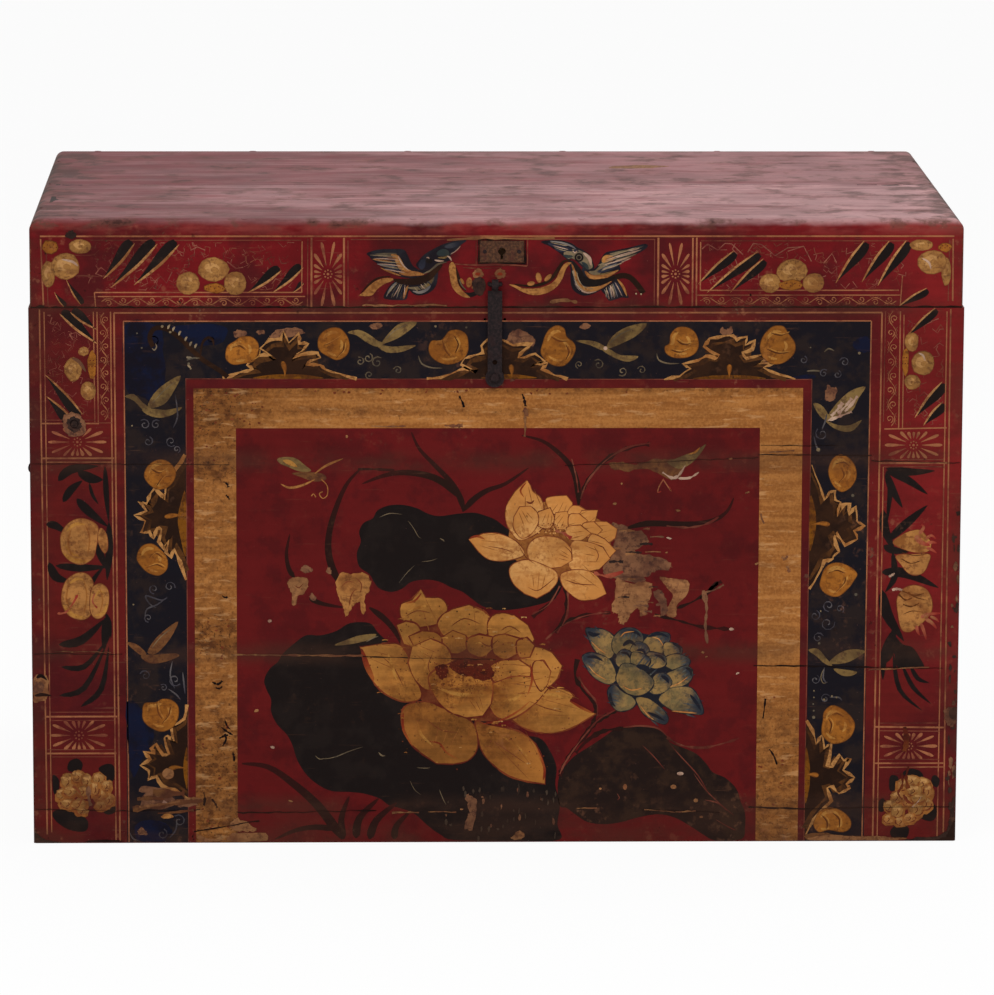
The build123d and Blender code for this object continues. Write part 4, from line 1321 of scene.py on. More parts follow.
def paint_left_lid_bird():
    film = Film("lid_left_bird", MOTIF_LEVEL, "lid")
    film.soft("gold", [
        (-120.5, 491), (-117, 494), (-112, 499.5), (-106, 504), (-98, 506.5), (-91, 506),
        (-92, 504), (-99, 501), (-105, 496.5), (-110, 491),
    ])
    film.stroke("leaf", [(-119, 493.5), (-112, 501), (-104, 506.5), (-93, 508)], 1.6, "taper")
    fills(film, [
        ("midnight", (-87, 505), (-92, 501.5), (-96, 497), (-99.5, 489.5), (-95, 487.5), (-88, 487),
         (-80, 487.5), (-78, 493), (-77, 498), (-80, 504)),
        ("midnight", (-80, 500), (-77, 496), (-72, 491.8), (-65, 491.5), (-58, 494.5), (-53.5, 500),
         (-52, 508), (-52, 516), (-56, 514), (-62, 506), (-70, 502)),
        ("midnight", (-114, 528.5), (-104, 531.5), (-92, 532), (-82, 531.5), (-78.5, 527),
         (-76, 521), (-73, 516.5), (-68, 513.5), (-64, 510), (-70, 506.5), (-82, 507), (-90, 509.5),
         (-97, 513), (-103, 518), (-108, 521.5), (-112, 525.5)),
        ("midnight", (-71, 518), (-68, 514), (-66, 510.5), (-62, 511), (-57, 514), (-52, 517),
         (-46, 520.5), (-40.5, 522.5), (-41, 526), (-37, 530), (-32, 535.5), (-27, 539.8),
         (-38, 539), (-48, 536), (-56, 532), (-62, 528.5), (-66, 525), (-69, 521.5)),
    ])
    for ink, width, *points in (
        ("cream", 2.6, (-78, 500), (-80.5, 494), (-82, 488)),
        ("pale_blue", 1.6, (-88, 503), (-93.5, 497), (-97, 490)),
        ("curl", 1.1, (-86, 501), (-90.5, 495), (-92.5, 489)),
        ("pale_blue", 1.0, (-84, 500), (-86.5, 494), (-88, 488.5)),
        ("curl", 0.9, (-83, 498), (-84, 493), (-84.5, 488.5)),
        ("curl", 3.6, (-79, 498), (-70, 497.5), (-62, 499.5), (-57, 505), (-56, 509)),
        ("pale_blue", 2.6, (-74, 495), (-68, 493.8), (-62, 496), (-58, 500)),
        ("olive", 2, (-63, 499), (-59, 501.5), (-57, 506)),
        ("curl", 2.2, (-107, 527.6), (-97, 527.6), (-88, 528)),
        ("cream", 1.8, (-109, 523.2), (-100, 521.6), (-92, 521)),
        ("pale_blue", 1.8, (-105, 519), (-97, 517.2), (-89, 516.5)),
        ("cream", 1.8, (-102, 515.5), (-93, 511.6), (-84, 508.4)),
        ("pale_blue", 1.2, (-99, 514.6), (-93, 513.6), (-87, 512.2)),
        ("cream", 1.4, (-101, 523.8), (-94, 524.4), (-89, 523.4)),
        ("gold", 5.6, (-93, 527), (-88, 524.5), (-85, 518.5), (-81, 513.5), (-74, 511.6)),
        ("cream", 4.6, (-86, 511), (-79, 510.4), (-72, 510.4), (-64, 509.6)),
        ("pale", 1.2, (-87, 526), (-82.5, 518), (-77, 513)),
        ("blue_feather", 6, (-66, 514), (-66, 518), (-64, 523)),
        ("curl", 1.8, (-65, 510.2), (-58, 513.4), (-52, 518.6), (-44, 520.6)),
        ("blue_feather", 4.2, (-46, 534), (-40, 535), (-33, 537.4)),
        ("teal", 6.4, (-53, 527.5), (-47, 529), (-42, 527.5)),
        ("olive", 1.8, (-52, 524.5), (-46, 524.5), (-43, 526.5)),
        ("leaf", 6.6, (-91, 505), (-82, 503.4), (-71, 503.6), (-61, 506.8), (-55, 512),
         (-48, 518.4)),
        ("pale", 1.5, (-44, 526), (-41.5, 524.5), (-40, 521.5)),
        ("pale", 0.8, (-41, 527.5), (-36, 530.6), (-32, 535)),
        ("black", 4.8, (-62.5, 521.4), (-59.5, 521.6), (-56.6, 521.4)),
        ("pale", 1.1, (-62, 524.4), (-60.6, 524.6), (-59.4, 523.6)),
        ("pale", 1.6, (-55, 522.4), (-51, 521.6), (-46.5, 521.6)),
        ("leaf", 2.6, (-38, 519), (-34.4, 509), (-32.4, 501), (-27.5, 495)),
        ("black", 4, (-31, 494), (-25, 491.6), (-19, 493), (-11, 498.5)),
    ):
        film.stroke(ink, points, width, "taper")
    barbs(film, (-112, 527.6), (-98, 513.6), (-88, 526.6), (-80, 510.4), 9)
    barbs(film, (-99, 490.6), (-80, 488.6), (-88, 502.4), (-80, 500.4), 6)
    barbs(film, (-70, 493.4), (-56, 500.4), (-74, 497.6), (-60, 504.4), 5)
    film.soft("gold", [
        (-41.5, 519), (-39, 520.5), (-36.6, 517), (-35.6, 508), (-34, 501), (-30.5, 495.5),
        (-26, 491.5), (-24, 489), (-30, 490), (-36, 494), (-40, 500), (-41.5, 508), (-42.4, 514),
    ])
    film.stroke("curl", [(-33.4, 505.5), (-31, 500), (-27, 495.6)], 1.1, "taper")
    film.soft("cream", ellipse(-24.6, 502.6, 2.6, 4.6, -8, 9))
    film.soft("cream", ellipse(-19.2, 500, 1.7, 4, -50, 8))
    film.soft("gold", ellipse(-30.6, 503.6, 1.2, 3, 30, 7))
    film.done()


def paint_right_lid_bird():
    film = Film("lid_right_bird", MOTIF_LEVEL, "lid")
    film.stroke("leaf", [(98, 505), (108, 508.4), (116, 507), (123, 500), (128, 493)], 4.8, "even")
    fills(film, [
        ("midnight", (91, 496.5), (98, 500.5), (104, 506), (108.5, 501.5), (113, 494), (115, 489),
         (109, 489.2), (104, 487.6), (98, 486.4), (94.5, 491.5)),
        ("midnight", (62, 521), (67, 521), (71, 515), (74, 507), (80, 502.5), (90, 501.5),
         (100, 505), (97, 499), (91, 496), (84, 492.5), (76, 490.8), (69, 493.6), (65, 499),
         (64, 508), (64.2, 514)),
        ("midnight", (76, 519), (80, 514.5), (85, 514.5), (89, 519.5), (91, 524), (95, 529),
         (104, 531), (116, 533.5), (129, 536.5), (131, 533.5), (122, 527.5), (112, 522.5),
         (107, 518.5), (107.5, 513.6), (100, 508.6), (94, 505.4), (86, 503.8), (79, 505.8),
         (74, 511)),
        ("midnight", (38, 538.5), (48, 540), (57, 539.4), (65, 537), (70, 533.4), (75, 531),
         (81, 526), (84.2, 519), (84.4, 514.6), (79, 512), (74, 516.4), (70, 520.6), (66, 523.4),
         (62, 522.4), (58, 525.4), (54.6, 528.4), (50, 531.6), (45, 534.8)),
        ("curl", (66, 532), (74, 530), (80, 525), (83, 519), (83, 515.6), (79, 514), (75, 517.6),
         (70, 521.4), (65, 524), (62, 523.4), (58, 527), (60, 531)),
    ])
    for ink, width, *points in (
        ("cream", 4.4, (65, 519), (68, 511), (69.4, 503), (74, 497.6), (81, 495.6), (90, 498),
         (100, 503.6)),
        ("pale", 1.6, (67, 514), (67.6, 504), (71.6, 497), (79, 493.4), (87, 494.8)),
        ("gold", 1.8, (74, 499), (81, 497.6), (90, 499.6)),
        ("blue_feather", 4.2, (44, 537), (52, 535), (60, 532.6), (66, 530.4)),
        ("pale_blue", 1.7, (46, 539), (56, 537.6), (64, 535), (69, 531.8)),
        ("blue_feather", 2.6, (50, 532.4), (56, 530.6), (62, 530.6)),
        ("teal", 2.8, (57.6, 526.6), (62, 525.4), (66, 525.6)),
        ("pale", 3, (75, 529), (80.4, 524), (82, 517.6)),
        ("teal", 3.4, (74, 520.4), (77.4, 517.4), (79.6, 514)),
        ("blue_feather", 2.2, (66, 528.6), (68.4, 531), (71, 529.6)),
        ("pale", 1.2, (66, 530.4), (68, 528.6), (69.6, 530.6)),
        ("curl", 5.4, (80, 512), (86, 511), (92, 516), (97, 524), (106, 527)),
        ("gold", 6.6, (91.6, 520.6), (96, 523.6), (102.6, 523.4)),
        ("curl", 2, (98, 527.6), (108, 529.4), (118, 531.8)),
        ("pale", 2, (113, 530.4), (119, 531.8), (124, 532.8)),
        ("pale", 1.1, (102, 524.6), (112, 526.6), (126, 531.6)),
        ("curl", 1.8, (103, 522), (112, 524), (122, 528)),
        ("pale", 1.0, (101, 520.6), (110, 521.4), (117, 524)),
        ("curl", 1.5, (88, 517.6), (94, 519.4), (100, 520)),
        ("cream", 4.6, (76.6, 512.6), (81, 508), (88, 506.6), (96, 508.6), (106, 513.4)),
        ("blue_feather", 4.4, (87.6, 511.8), (96, 514.4), (106, 518.4)),
        ("pale_blue", 1.0, (92, 515), (99, 517), (105, 519.2)),
        ("olive", 1.4, (86, 509), (94, 510.2), (101, 512.4)),
        ("cream", 2.4, (105, 505.4), (110, 499), (113.6, 490.4)),
        ("blue_feather", 4.2, (102.6, 503), (106.6, 497), (109.4, 491)),
        ("pale_blue", 1.2, (101, 501.6), (103.4, 496), (105.4, 489.4)),
        ("pale", 0.9, (99, 500), (101.4, 494.6), (102.6, 488.6)),
        ("pale_blue", 1.6, (97, 499), (99.4, 493.6), (100.4, 488)),
        ("pale", 0.9, (95, 497.6), (97.2, 492.6), (98, 487.6)),
        ("pale_blue", 1.0, (93.6, 496.6), (95.4, 492.6), (96.4, 488.6)),
        ("black", 6.8, (66, 521), (71, 513), (75, 505), (84, 502), (94, 503.8), (103, 507)),
    ):
        film.stroke(ink, points, width, "taper")
    barbs(film, (128, 535), (106, 516.6), (96, 525.4), (90, 510.6), 11)
    barbs(film, (93.6, 489.4), (111, 490.4), (95, 498.4), (103.6, 503), 6)
    strokes(film, "feather", [
        (1.1, (66, 513), (68.2, 504.6), (73, 497.4), (81, 494.2)),
        (0.8, (69.4, 512), (71.6, 504), (76.4, 498.6), (84, 496.8)),
    ], "worn")
    film.stroke("blue_feather", [(66.4, 508), (68.6, 500.4), (73.6, 494.8)], 0.9, "worn")
    barbs(film, (46, 538.8), (50, 533), (62, 536), (62, 529), 4)
    film.soft("black", ellipse(71.4, 524.6, 3.9, 3.9, 0, 10))
    film.ribbon("curl", ellipse(71.4, 524.6, 2.1, 2.1, 0, 9), 0.8, "even", True)
    film.dot("feather", 121.6, 492.6, 0.8)
    film.dot("feather", 126, 492.2, 0.8)
    film.stroke("leaf", [
        (15, 501), (28, 499.4), (40, 501.4), (48, 506.6), (53, 514), (58, 521), (64, 522),
    ], 3.0, "taper")
    film.soft("gold", [
        (10.5, 500.6), (15, 500.4), (21, 498), (29, 497), (38, 498), (46, 501), (51, 505.4),
        (54, 511.4), (57, 517), (61, 520.2), (65, 519.8), (61.6, 517), (59, 512), (57, 506),
        (52.6, 499.4), (46, 494.4), (38, 491.8), (30, 491.6), (22, 494.2), (16, 497.6),
    ])
    film.soft("cream", ellipse(29.5, 501.6, 3.4, 2, 10, 8))
    film.soft("cream", ellipse(36.2, 506.8, 2.6, 4.6, 12, 9))
    film.soft("cream", ellipse(44.4, 506.8, 1.9, 4.2, -45, 9))
    film.done()


def fruit(film, points, creases):
    """A round gold fruit, dark at its edge, with curved creases beside brighter bands."""
    film.restart()
    film.soft("fruit", points)
    ring = smooth(points, True, 3)
    cu = sum(p[0] for p in points) / len(points)
    cv = sum(p[1] for p in points) / len(points)
    for start, reach, size, width in (
        (0.05, 0.3, 0.7, 3.2), (0.4, 0.24, 0.5, 2.6), (0.7, 0.2, 0.72, 2.2),
    ):
        first = int(start * len(ring))
        band = [ring[(first + i) % len(ring)] for i in range(0, int(reach * len(ring)), 2)]
        film.stroke("fruit_light", [
            (cu + size * (u - cu), cv + size * (v - cv)) for u, v in band
        ], width, "taper", 3)
    for crease in creases:
        film.stroke("fruit_dark", crease, 1.3, "taper")
        film.stroke("fruit_light", [(u + 1.5, v + 1.0) for u, v in crease], 1.0, "taper")


def paint_band_fruits():
    film = Film("band_fruits", MOTIF_LEVEL)
    for points, *creases in (
        ([(-238, 440), (-236, 447), (-230, 451), (-224, 455), (-215, 455), (-209, 449), (-209, 440),
         (-213, 433), (-222, 431), (-231, 430), (-237, 434)], [(-216, 433), (-210, 437),
         (-209, 443)], [(-232, 445), (-226, 447), (-220, 443)]),
        ([(-157, 452), (-153, 459), (-145, 463), (-137, 462), (-131, 455), (-129, 446), (-132, 438),
         (-140, 434), (-148, 437), (-156, 443)], [(-152, 447), (-146, 450), (-138, 455)],
         [(-141, 436), (-135, 442), (-134, 450)]),
        ([(-60, 446), (-57, 451.5), (-50, 451.5), (-46, 455), (-42, 460), (-34, 461), (-27, 457),
         (-25, 449), (-26, 440), (-32, 433), (-43, 430), (-53, 433), (-59, 439)], [(-48, 452),
         (-46, 444), (-41, 437)], [(-38, 456), (-34, 448), (-37, 440)]),
        ([(40, 450), (42, 456), (46, 462), (53, 465), (59, 462), (61, 455), (67, 450), (69, 444),
         (66, 436), (59, 429), (50, 429), (42, 434), (38, 441)], [(47, 455), (54, 451), (62, 451)],
         [(60, 434), (63, 441), (60, 448)]),
        ([(147, 446), (151, 449), (152, 457), (158, 463), (167, 463), (174, 458), (177, 448),
         (174, 440), (166, 436), (155, 436), (148, 440)], [(157, 452), (163, 448), (170, 449)],
         [(152, 443), (160, 441), (168, 444)]),
        ([(231, 450), (235, 458), (242, 464), (251, 464), (256, 457), (261.5, 449), (261, 440),
         (253, 432), (243, 430), (235, 434), (231, 441)], [(240, 458), (248, 456), (255, 458)],
         [(236, 444), (246, 440), (256, 441)]),
        ([(-310, 332), (-306, 341), (-297, 346), (-288, 344), (-282, 336), (-283, 328), (-289, 321),
         (-298, 319), (-306, 324)], [(-304, 338), (-297, 334), (-290, 338)], [(-299, 322),
         (-293, 330), (-286, 331)]),
        ([(-317, 258), (-313, 268), (-304, 271), (-296, 266), (-290, 258), (-290, 248), (-297, 242),
         (-306, 244), (-313, 250)], [(-306, 258), (-300, 262), (-294, 258)], [(-309, 249),
         (-300, 252), (-293, 249)]),
        ([(-313, 118), (-311, 127), (-301, 128), (-295, 131), (-287, 130), (-281, 124), (-281, 114),
         (-286, 105), (-296, 101), (-306, 105), (-312, 111)], [(-300, 128), (-299, 119),
         (-295, 112)], [(-288, 124), (-290, 115), (-296, 108)]),
        ([(292, 336), (295, 345), (302, 350), (310, 347), (316, 339), (317, 329), (312, 320),
         (304, 316), (297, 321), (293, 329)], [(298, 341), (305, 343), (311, 339)], [(301, 324),
         (306, 330), (304, 337)]),
        ([(287, 240), (291, 249), (300, 253), (311, 250), (319, 243), (316, 236), (311, 229),
         (302, 222), (292, 224), (286, 231)], [(293, 243), (300, 246), (308, 243)], [(300, 226),
         (307, 233), (309, 240)]),
        ([(290, 110), (291, 118), (298, 124), (307, 121), (315, 114), (319, 106), (316, 96),
         (308, 90), (298, 89), (290, 96), (289, 103)], [(294, 113), (301, 117), (309, 113)],
         [(296, 98), (298, 106), (295, 112)]),
        ([(284, 20), (289, 28), (298, 31), (308, 28), (316, 20), (316, 12), (309, 8), (297, 10),
         (288, 8), (283, 14)], [(290, 24), (295, 18), (295, 11)], [(300, 26), (306, 20),
         (306, 12)]),
    ):
        fruit(film, points, creases)
    film.petal("bare_tan", "fruit_dark", [
        (-296, 63), (-292, 68), (-286, 66), (-286, 60), (-292, 58),
    ], 0.4)
    film.done()


def lobed_leaf(film, ground, zigzag, stem, mound):
    """A dark lobed leaf with a bright ragged edge, a stem and a low mound that it grows from."""
    film.restart()
    film.shape("leaf", [ground] + zigzag, rim=0.5)
    cu, cv = ground
    film.ribbon("leaf_brown", [
        (cu + 0.86 * (u - cu), cv + 0.86 * (v - cv)) for u, v in zigzag
    ], 4.6, "worn")
    film.soft("mound", mound)
    path = []
    for a, b in zip(zigzag, zigzag[1:]):
        for k in range(2):
            path.append(tuple(
                p + (q - p) * k / 2 + film.chance.uniform(-0.5, 0.5) for p, q in zip(a, b)
            ))
    film.ribbon("leaf_edge", path + [zigzag[-1]], 3.0, "worn")
    film.stroke("fruit", stem, 4.6, "drop")


def paint_band_leaves():
    film = Film("band_leaves", DARK_LEVEL)
    for ground, zigzag, stem, mound in (
        ((-180, 417.4), [(-240, 418), (-226, 423), (-213, 426), (-219, 430), (-213, 437),
         (-204, 439), (-197, 437), (-207, 445), (-199, 452), (-189, 453), (-187, 460), (-182, 449),
         (-174, 458), (-173, 449), (-165, 449), (-171, 442), (-179, 437), (-166, 440), (-157, 441),
         (-155, 436), (-163, 434), (-168, 430), (-155, 430), (-151, 426), (-138, 422),
         (-123, 417.5)], [(-186, 419), (-186, 426), (-188, 433)], [(-214, 418), (-200, 421),
         (-184, 421.5), (-168, 421), (-152, 418), (-184, 417.6)]),
        ((10, 417.2), [(-62, 417.5), (-50, 419), (-40, 422), (-28, 427), (-22, 425), (-32, 430),
         (-28, 436), (-20, 438), (-12, 440), (-14, 447), (-8, 452), (4, 452), (14, 447), (22, 448),
         (31, 449), (24, 443), (18, 436), (24, 436), (33, 440), (42, 433), (34, 431), (44, 431),
         (39, 426), (51, 421), (62, 417)], [(13, 419), (13, 424), (12, 430)], [(-14, 418),
         (0, 420.5), (14, 421.5), (30, 419.5), (34, 418), (10, 417.4)]),
        ((204, 416.8), [(147, 417), (160, 420), (170, 426), (163, 430), (176, 434), (183, 438),
         (191, 436), (194, 438), (181, 446), (187, 453), (199, 455), (207, 456), (210, 452),
         (219, 455), (218, 447), (226, 451), (224, 443), (215, 440), (219, 435), (232, 439),
         (240, 437), (230, 431), (245, 431), (234, 427), (248, 421), (262, 416.8)], [(204, 418),
         (204, 424), (204, 430)], [(172, 417.3), (188, 420), (204, 420.5), (222, 420), (236, 417.2),
         (204, 417)]),
        ((-273.3, 295), [(-273.5, 350), (-282, 337), (-285, 327), (-291, 323), (-292, 310),
         (-297, 317), (-301, 320), (-306, 311), (-308, 306), (-314, 309), (-308, 300), (-319, 296),
         (-309, 291), (-313, 281), (-306, 281), (-302, 275), (-299, 285), (-295, 284), (-297, 273),
         (-293, 265), (-289, 273), (-291, 263), (-287, 259), (-284, 266), (-279, 255),
         (-273.5, 238)], [(-275, 296), (-283, 296), (-292, 294.5)], [(-273.4, 316), (-278, 306),
         (-280.5, 292), (-278, 275), (-273.4, 260)]),
        ((-273.2, 80), [(-273, 126), (-276, 113), (-284, 107), (-288, 108), (-286, 93), (-291, 98),
         (-294, 95), (-290, 81), (-295, 80), (-301, 90), (-305, 86), (-302, 82), (-312, 83),
         (-306, 76), (-315, 71), (-307, 66), (-308, 58), (-301, 60), (-296, 52), (-284, 48),
         (-273.4, 40)], [(-275, 68), (-283, 69), (-290, 67)], [(-273.4, 86), (-276, 78), (-277, 68),
         (-276, 58), (-273.4, 50)]),
        ((276.2, 290), [(277, 340), (285, 322), (289, 309), (293, 316), (298, 317), (299, 309),
         (303, 307), (301, 294), (306, 305), (311, 305), (311, 296), (317, 303), (318, 290),
         (324, 286), (316, 281), (319, 274), (308, 268), (300, 279), (298, 275), (302, 263),
         (298, 258), (296, 255), (290, 254), (284, 241), (276.6, 229)], [(278, 287), (286, 288),
         (294, 287)], [(276.4, 312), (281, 300), (282, 287), (280.5, 276), (276.4, 264)]),
        ((275, 60), [(275.6, 110), (281, 101), (285, 89), (290, 97), (292, 85), (298, 89),
         (295, 69), (299, 68), (306, 79), (309, 74), (315, 75), (309, 65), (319, 58), (312, 52),
         (316, 48), (305, 43), (300, 50), (295, 49), (299, 37), (292, 31), (283, 20), (275.4, 4)],
         [(276.5, 61), (281, 61), (287, 60)], [(275.2, 84), (278.5, 74), (279.5, 60), (278.5, 46),
         (275.2, 36)]),
    ):
        lobed_leaf(film, ground, zigzag, stem, mound)
    film.done()


def swallow(film, ink, wings, touches=()):
    """A small bird of a few plain shapes, with pale touches."""
    for wing in wings:
        film.soft(ink, wing, steps=3)
    for touch in touches:
        film.stroke("curl", touch, 0.8, "taper")


def paint_band_swallows():
    film = Film("band_swallows", MOTIF_LEVEL)
    swallow(film, "olive", [
        [(-131, 458.5), (-122, 461), (-113, 457.5), (-104, 451), (-98, 449), (-106, 446),
         (-116, 451), (-123, 456)],
        [(-101, 449), (-93, 460), (-84, 467), (-70, 467.5), (-80, 458), (-90, 452)],
        [(-106, 448), (-92, 446), (-79, 447), (-71, 447), (-83, 441.5), (-97, 441)],
    ], [[(-98, 452), (-90, 460), (-78, 466)]])
    swallow(film, "olive", [
        [(69, 451), (80, 451.5), (90, 449), (98, 443), (91, 443), (82, 447)],
        [(96, 444), (101, 455), (114, 463.5), (131, 466.5), (124, 457), (112, 450)],
        [(92, 443), (104, 435.5), (116, 432.5), (124, 437.5), (108, 438.5), (98, 444)],
    ], [[(99, 449), (108, 457), (122, 463)]])
    swallow(film, "olive", [
        [(-326, 402), (-318, 404), (-310, 396), (-303, 391), (-310, 390), (-318, 398)],
        [(-306, 392), (-301, 404), (-290, 414), (-277, 420.5), (-283, 407), (-292, 395)],
        [(-311, 391), (-307, 386), (-296, 383), (-284, 386), (-276, 392.5), (-290, 390),
         (-300, 391)],
    ], [[(-302, 396), (-292, 407), (-282, 415)]])
    swallow(film, "brown", [
        [(-326, 182), (-317, 180), (-309, 172), (-313, 170), (-321, 176)],
        [(-308, 173), (-301, 185), (-290, 195), (-280.5, 200.5), (-288, 185), (-300, 172)],
        [(-314, 170), (-306, 163), (-292, 164.5), (-280, 169.5), (-284, 172), (-298, 171)],
    ], [[(-304, 177), (-296, 187), (-286, 195)]])
    swallow(film, "olive", [
        [(278, 395), (285, 394), (291, 386), (291, 380), (284, 384)],
        [(289, 380), (296, 373.5), (306, 370), (314, 371.5), (321, 380.5), (311, 376), (300, 376)],
        [(289, 380), (296, 392), (305, 402), (314, 408), (324, 410), (318, 400), (312, 388),
         (300, 383)],
    ])
    for u0, v0, u1, v1, width in (
        (294, 384, 304, 396, 3.5), (300, 386, 312, 400, 3), (306, 388, 317, 402, 2.6),
        (291, 380, 312, 388, 2.4),
    ):
        film.stroke("pale", [
            (u0, v0), ((u0 + u1) / 2 + 0.6, (v0 + v1) / 2), (u1, v1)
        ], width, "worn", 6)
    swallow(film, "olive", [
        [(276.5, 174), (285, 175), (292, 167), (298, 160), (292, 161), (284, 168)],
        [(295, 162), (304, 171), (315, 174.5), (327, 173), (320, 167), (309, 162)],
        [(299, 157), (306, 151), (315, 150.5), (320, 154), (310, 156)],
    ], [[(291, 158), (288, 150), (290, 144), (294, 145)]])
    film.dot("pale", 95, 444.5, 1.8)
    film.done()


def paint_band_curls():
    film = Film("band_curls", LINE_LEVEL)
    for u, v, radius, start, flip in (
        (-300, 451, 5, 90, 1), (-250, 453, 3.5, 200, -1), (-113, 436, 4.5, 0, 1),
        (-105, 432, 5.5, 120, -1), (-120, 433, 4, 40, 1), (-112, 421, 4, 220, 1),
        (-87, 425, 4, 90, 1), (89, 430, 5, 60, 1), (72, 430, 3.6, 180, 1), (110, 424, 4.5, 300, -1),
        (127, 425, 4, 90, 1), (269, 434, 3.6, 0, 1), (287, 422, 4, 120, -1), (299, 421, 3.8, 0, 1),
        (305, 432, 4.6, 90, 1), (-309, 377, 5, 60, 1), (-299, 377, 4.5, 120, -1),
        (-306, 362, 4.5, 0, 1), (-286, 362, 5, 240, 1), (-281, 355, 3.5, 0, -1),
        (-302, 230, 4.5, 200, 1), (-288, 232, 5, 60, -1), (-307, 204, 4, 200, 1),
        (-310, 152, 5, 90, 1), (-284, 148, 6, 250, 1), (-294, 141, 3.5, 60, 1), (282, 205, 5, 0, 1),
        (294, 214, 5.5, 200, 1), (304, 211, 4, 20, -1), (285, 185, 5, 90, -1),
        (293, 198, 7, 300, 1), (283, 147, 4.5, 0, 1), (292, 130, 4.5, 100, -1),
        (-281, 20, 6, 60, 1), (-296, 8, 5, 0, 1), (286, 368, 6, 200, -1),
    ):
        ink = "curl" if v > 417 and -130 < u < 140 else "ghost"
        film.ribbon(ink, spiral(u, v, radius, 1.2, start, flip), 1.0, "worn")
    film.stroke("leaf", [
        (-301, 446), (-304, 454), (-300, 462), (-290, 462), (-278, 454), (-267, 443), (-257, 434),
        (-243, 425), (-236, 419),
    ], 4.2, "even")
    film.stroke("leaf", [
        (-260, 436), (-258, 449), (-253, 454), (-249, 452), (-248, 447),
    ], 2.6, "taper")
    for u, v in (
        (-288, 461.6), (-283.7, 459.8), (-278.5, 456), (-273, 451), (-269, 446.5), (-264.5, 444.7),
    ):
        film.stroke("feather", [(u, v), (u + 0.6, v + 2.4), (u + 2.0, v + 4)], 1.9, "taper", 3)
    film.stroke("feather", [(-302, 445), (-300, 443), (-298, 446), (-299, 449)], 1.2, "taper", 3)
    strokes(film, "feather", [
        (2, (-272, 437), (-268, 436), (-262, 436)), (1.6, (-271, 430), (-269, 428), (-268, 426)),
    ], "worn")
    for points in (
        [(-272, 434), (-266, 436), (-260, 436)],
        [(-300, 213), (-306, 217), (-309, 224), (-296, 220), (-290, 222)],
        [(-310, 205), (-308, 212), (-299, 216), (-290, 223)],
        [(-286, 165), (-288, 152), (-284, 140)], [(-277, 155), (-276, 145), (-275, 135)],
        [(-290, 140), (-283, 135), (-279, 130)], [(272, 424), (278, 424.5), (284, 424)],
        [(-69, 438), (-66, 431), (-58, 427.5), (-48, 427)],
        [(140, 440), (142, 434), (150, 431), (160, 431)], [(296, 442), (291, 444), (287, 441)],
        [(291, 158), (290, 149), (293, 144)], [(284, 352), (281, 358), (279, 366)],
        [(-325, 10), (-322, 4), (-316, 2)], [(-283, 22), (-284, 12), (-290, 4)],
        [(296, 131), (304, 131), (307, 128)], [(-282, 404), (-280, 385), (-284, 374)],
        [(286, 372), (289, 380), (290, 386)],
    ):
        film.stroke("curl" if points[0][1] > 417 else "ghost", points, 1.4, "taper")
    for u, v, radius in (
        (-315, 458, 1), (-311, 445, 1.1), (-293, 464, 1.6), (-286, 459, 1.4), (-320, 376, 1),
        (-320, 216, 1), (318, 440, 1.6), (318, 224, 1.8), (286, 180, 1.5), (283, 354, 2.2),
        (282, 137, 0.9), (282, 131, 0.9), (281.5, 125, 1), (282, 119, 1.1), (282, 113, 1.8),
        (314, 313, 1.8), (-54, 464, 1.4), (-27, 463, 1.2), (302, 131, 1.1), (291, 129, 1.4),
        (298, 132, 1.2), (275, 445, 0.9), (-270, 431, 1.5), (287, 209, 1),
    ):
        film.dot("curl", u, v, 0.8 * radius, 7)
    film.done()
    film = Film("band_worn_flowers", LINE_LEVEL)
    patches(film, [
        ("bare", 1.4, (-231, 458), (-226, 461), (-219, 459), (-221, 455), (-228, 454)),
        ("bare", 1.4, (-211, 459), (-206, 461), (-203, 458), (-208, 457)),
        ("bare", 1.4, (-199, 454), (-194, 460), (-184, 463), (-173, 462), (-168, 458), (-178, 455),
         (-190, 452)),
        ("bare", 1.4, (-112, 464), (-107, 467), (-100, 465), (-106, 461)),
        ("bare", 1.4, (72, 463), (77, 467), (82, 464), (77, 461)),
        ("bare", 1.4, (8, 446), (10, 456), (17, 461), (26, 459), (33, 452), (31, 446), (22, 447),
         (15, 445)),
        ("bare", 1.4, (196, 458), (197, 463), (201, 461), (205, 464), (207, 459), (202, 456)),
        ("bare", 1.4, (288, 398), (289, 408), (291, 412), (294, 409), (299, 409), (298, 402),
         (295, 398)),
        ("bare", 1.4, (-314, 33), (-311, 45), (-300, 46), (-287, 42), (-284, 35), (-296, 31)),
        ("bare", 1.4, (-316, 49), (-312, 52), (-296, 50), (-279, 50), (-278, 46), (-296, 46),
         (-314, 46)),
        ("bare", 1.4, (-282, 33), (-272, 39), (-266, 38), (-266, 34)),
        ("bare", 1.4, (-318, 10), (-314, 14), (-309, 8), (-315, 7)),
        ("gold", 0.8, (-297, 24), (-291, 27), (-286, 24), (-292, 22)),
        ("pale", 0.8, (-297, 35), (-294, 39), (-291, 35), (-294, 33)),
    ])
    film.done()


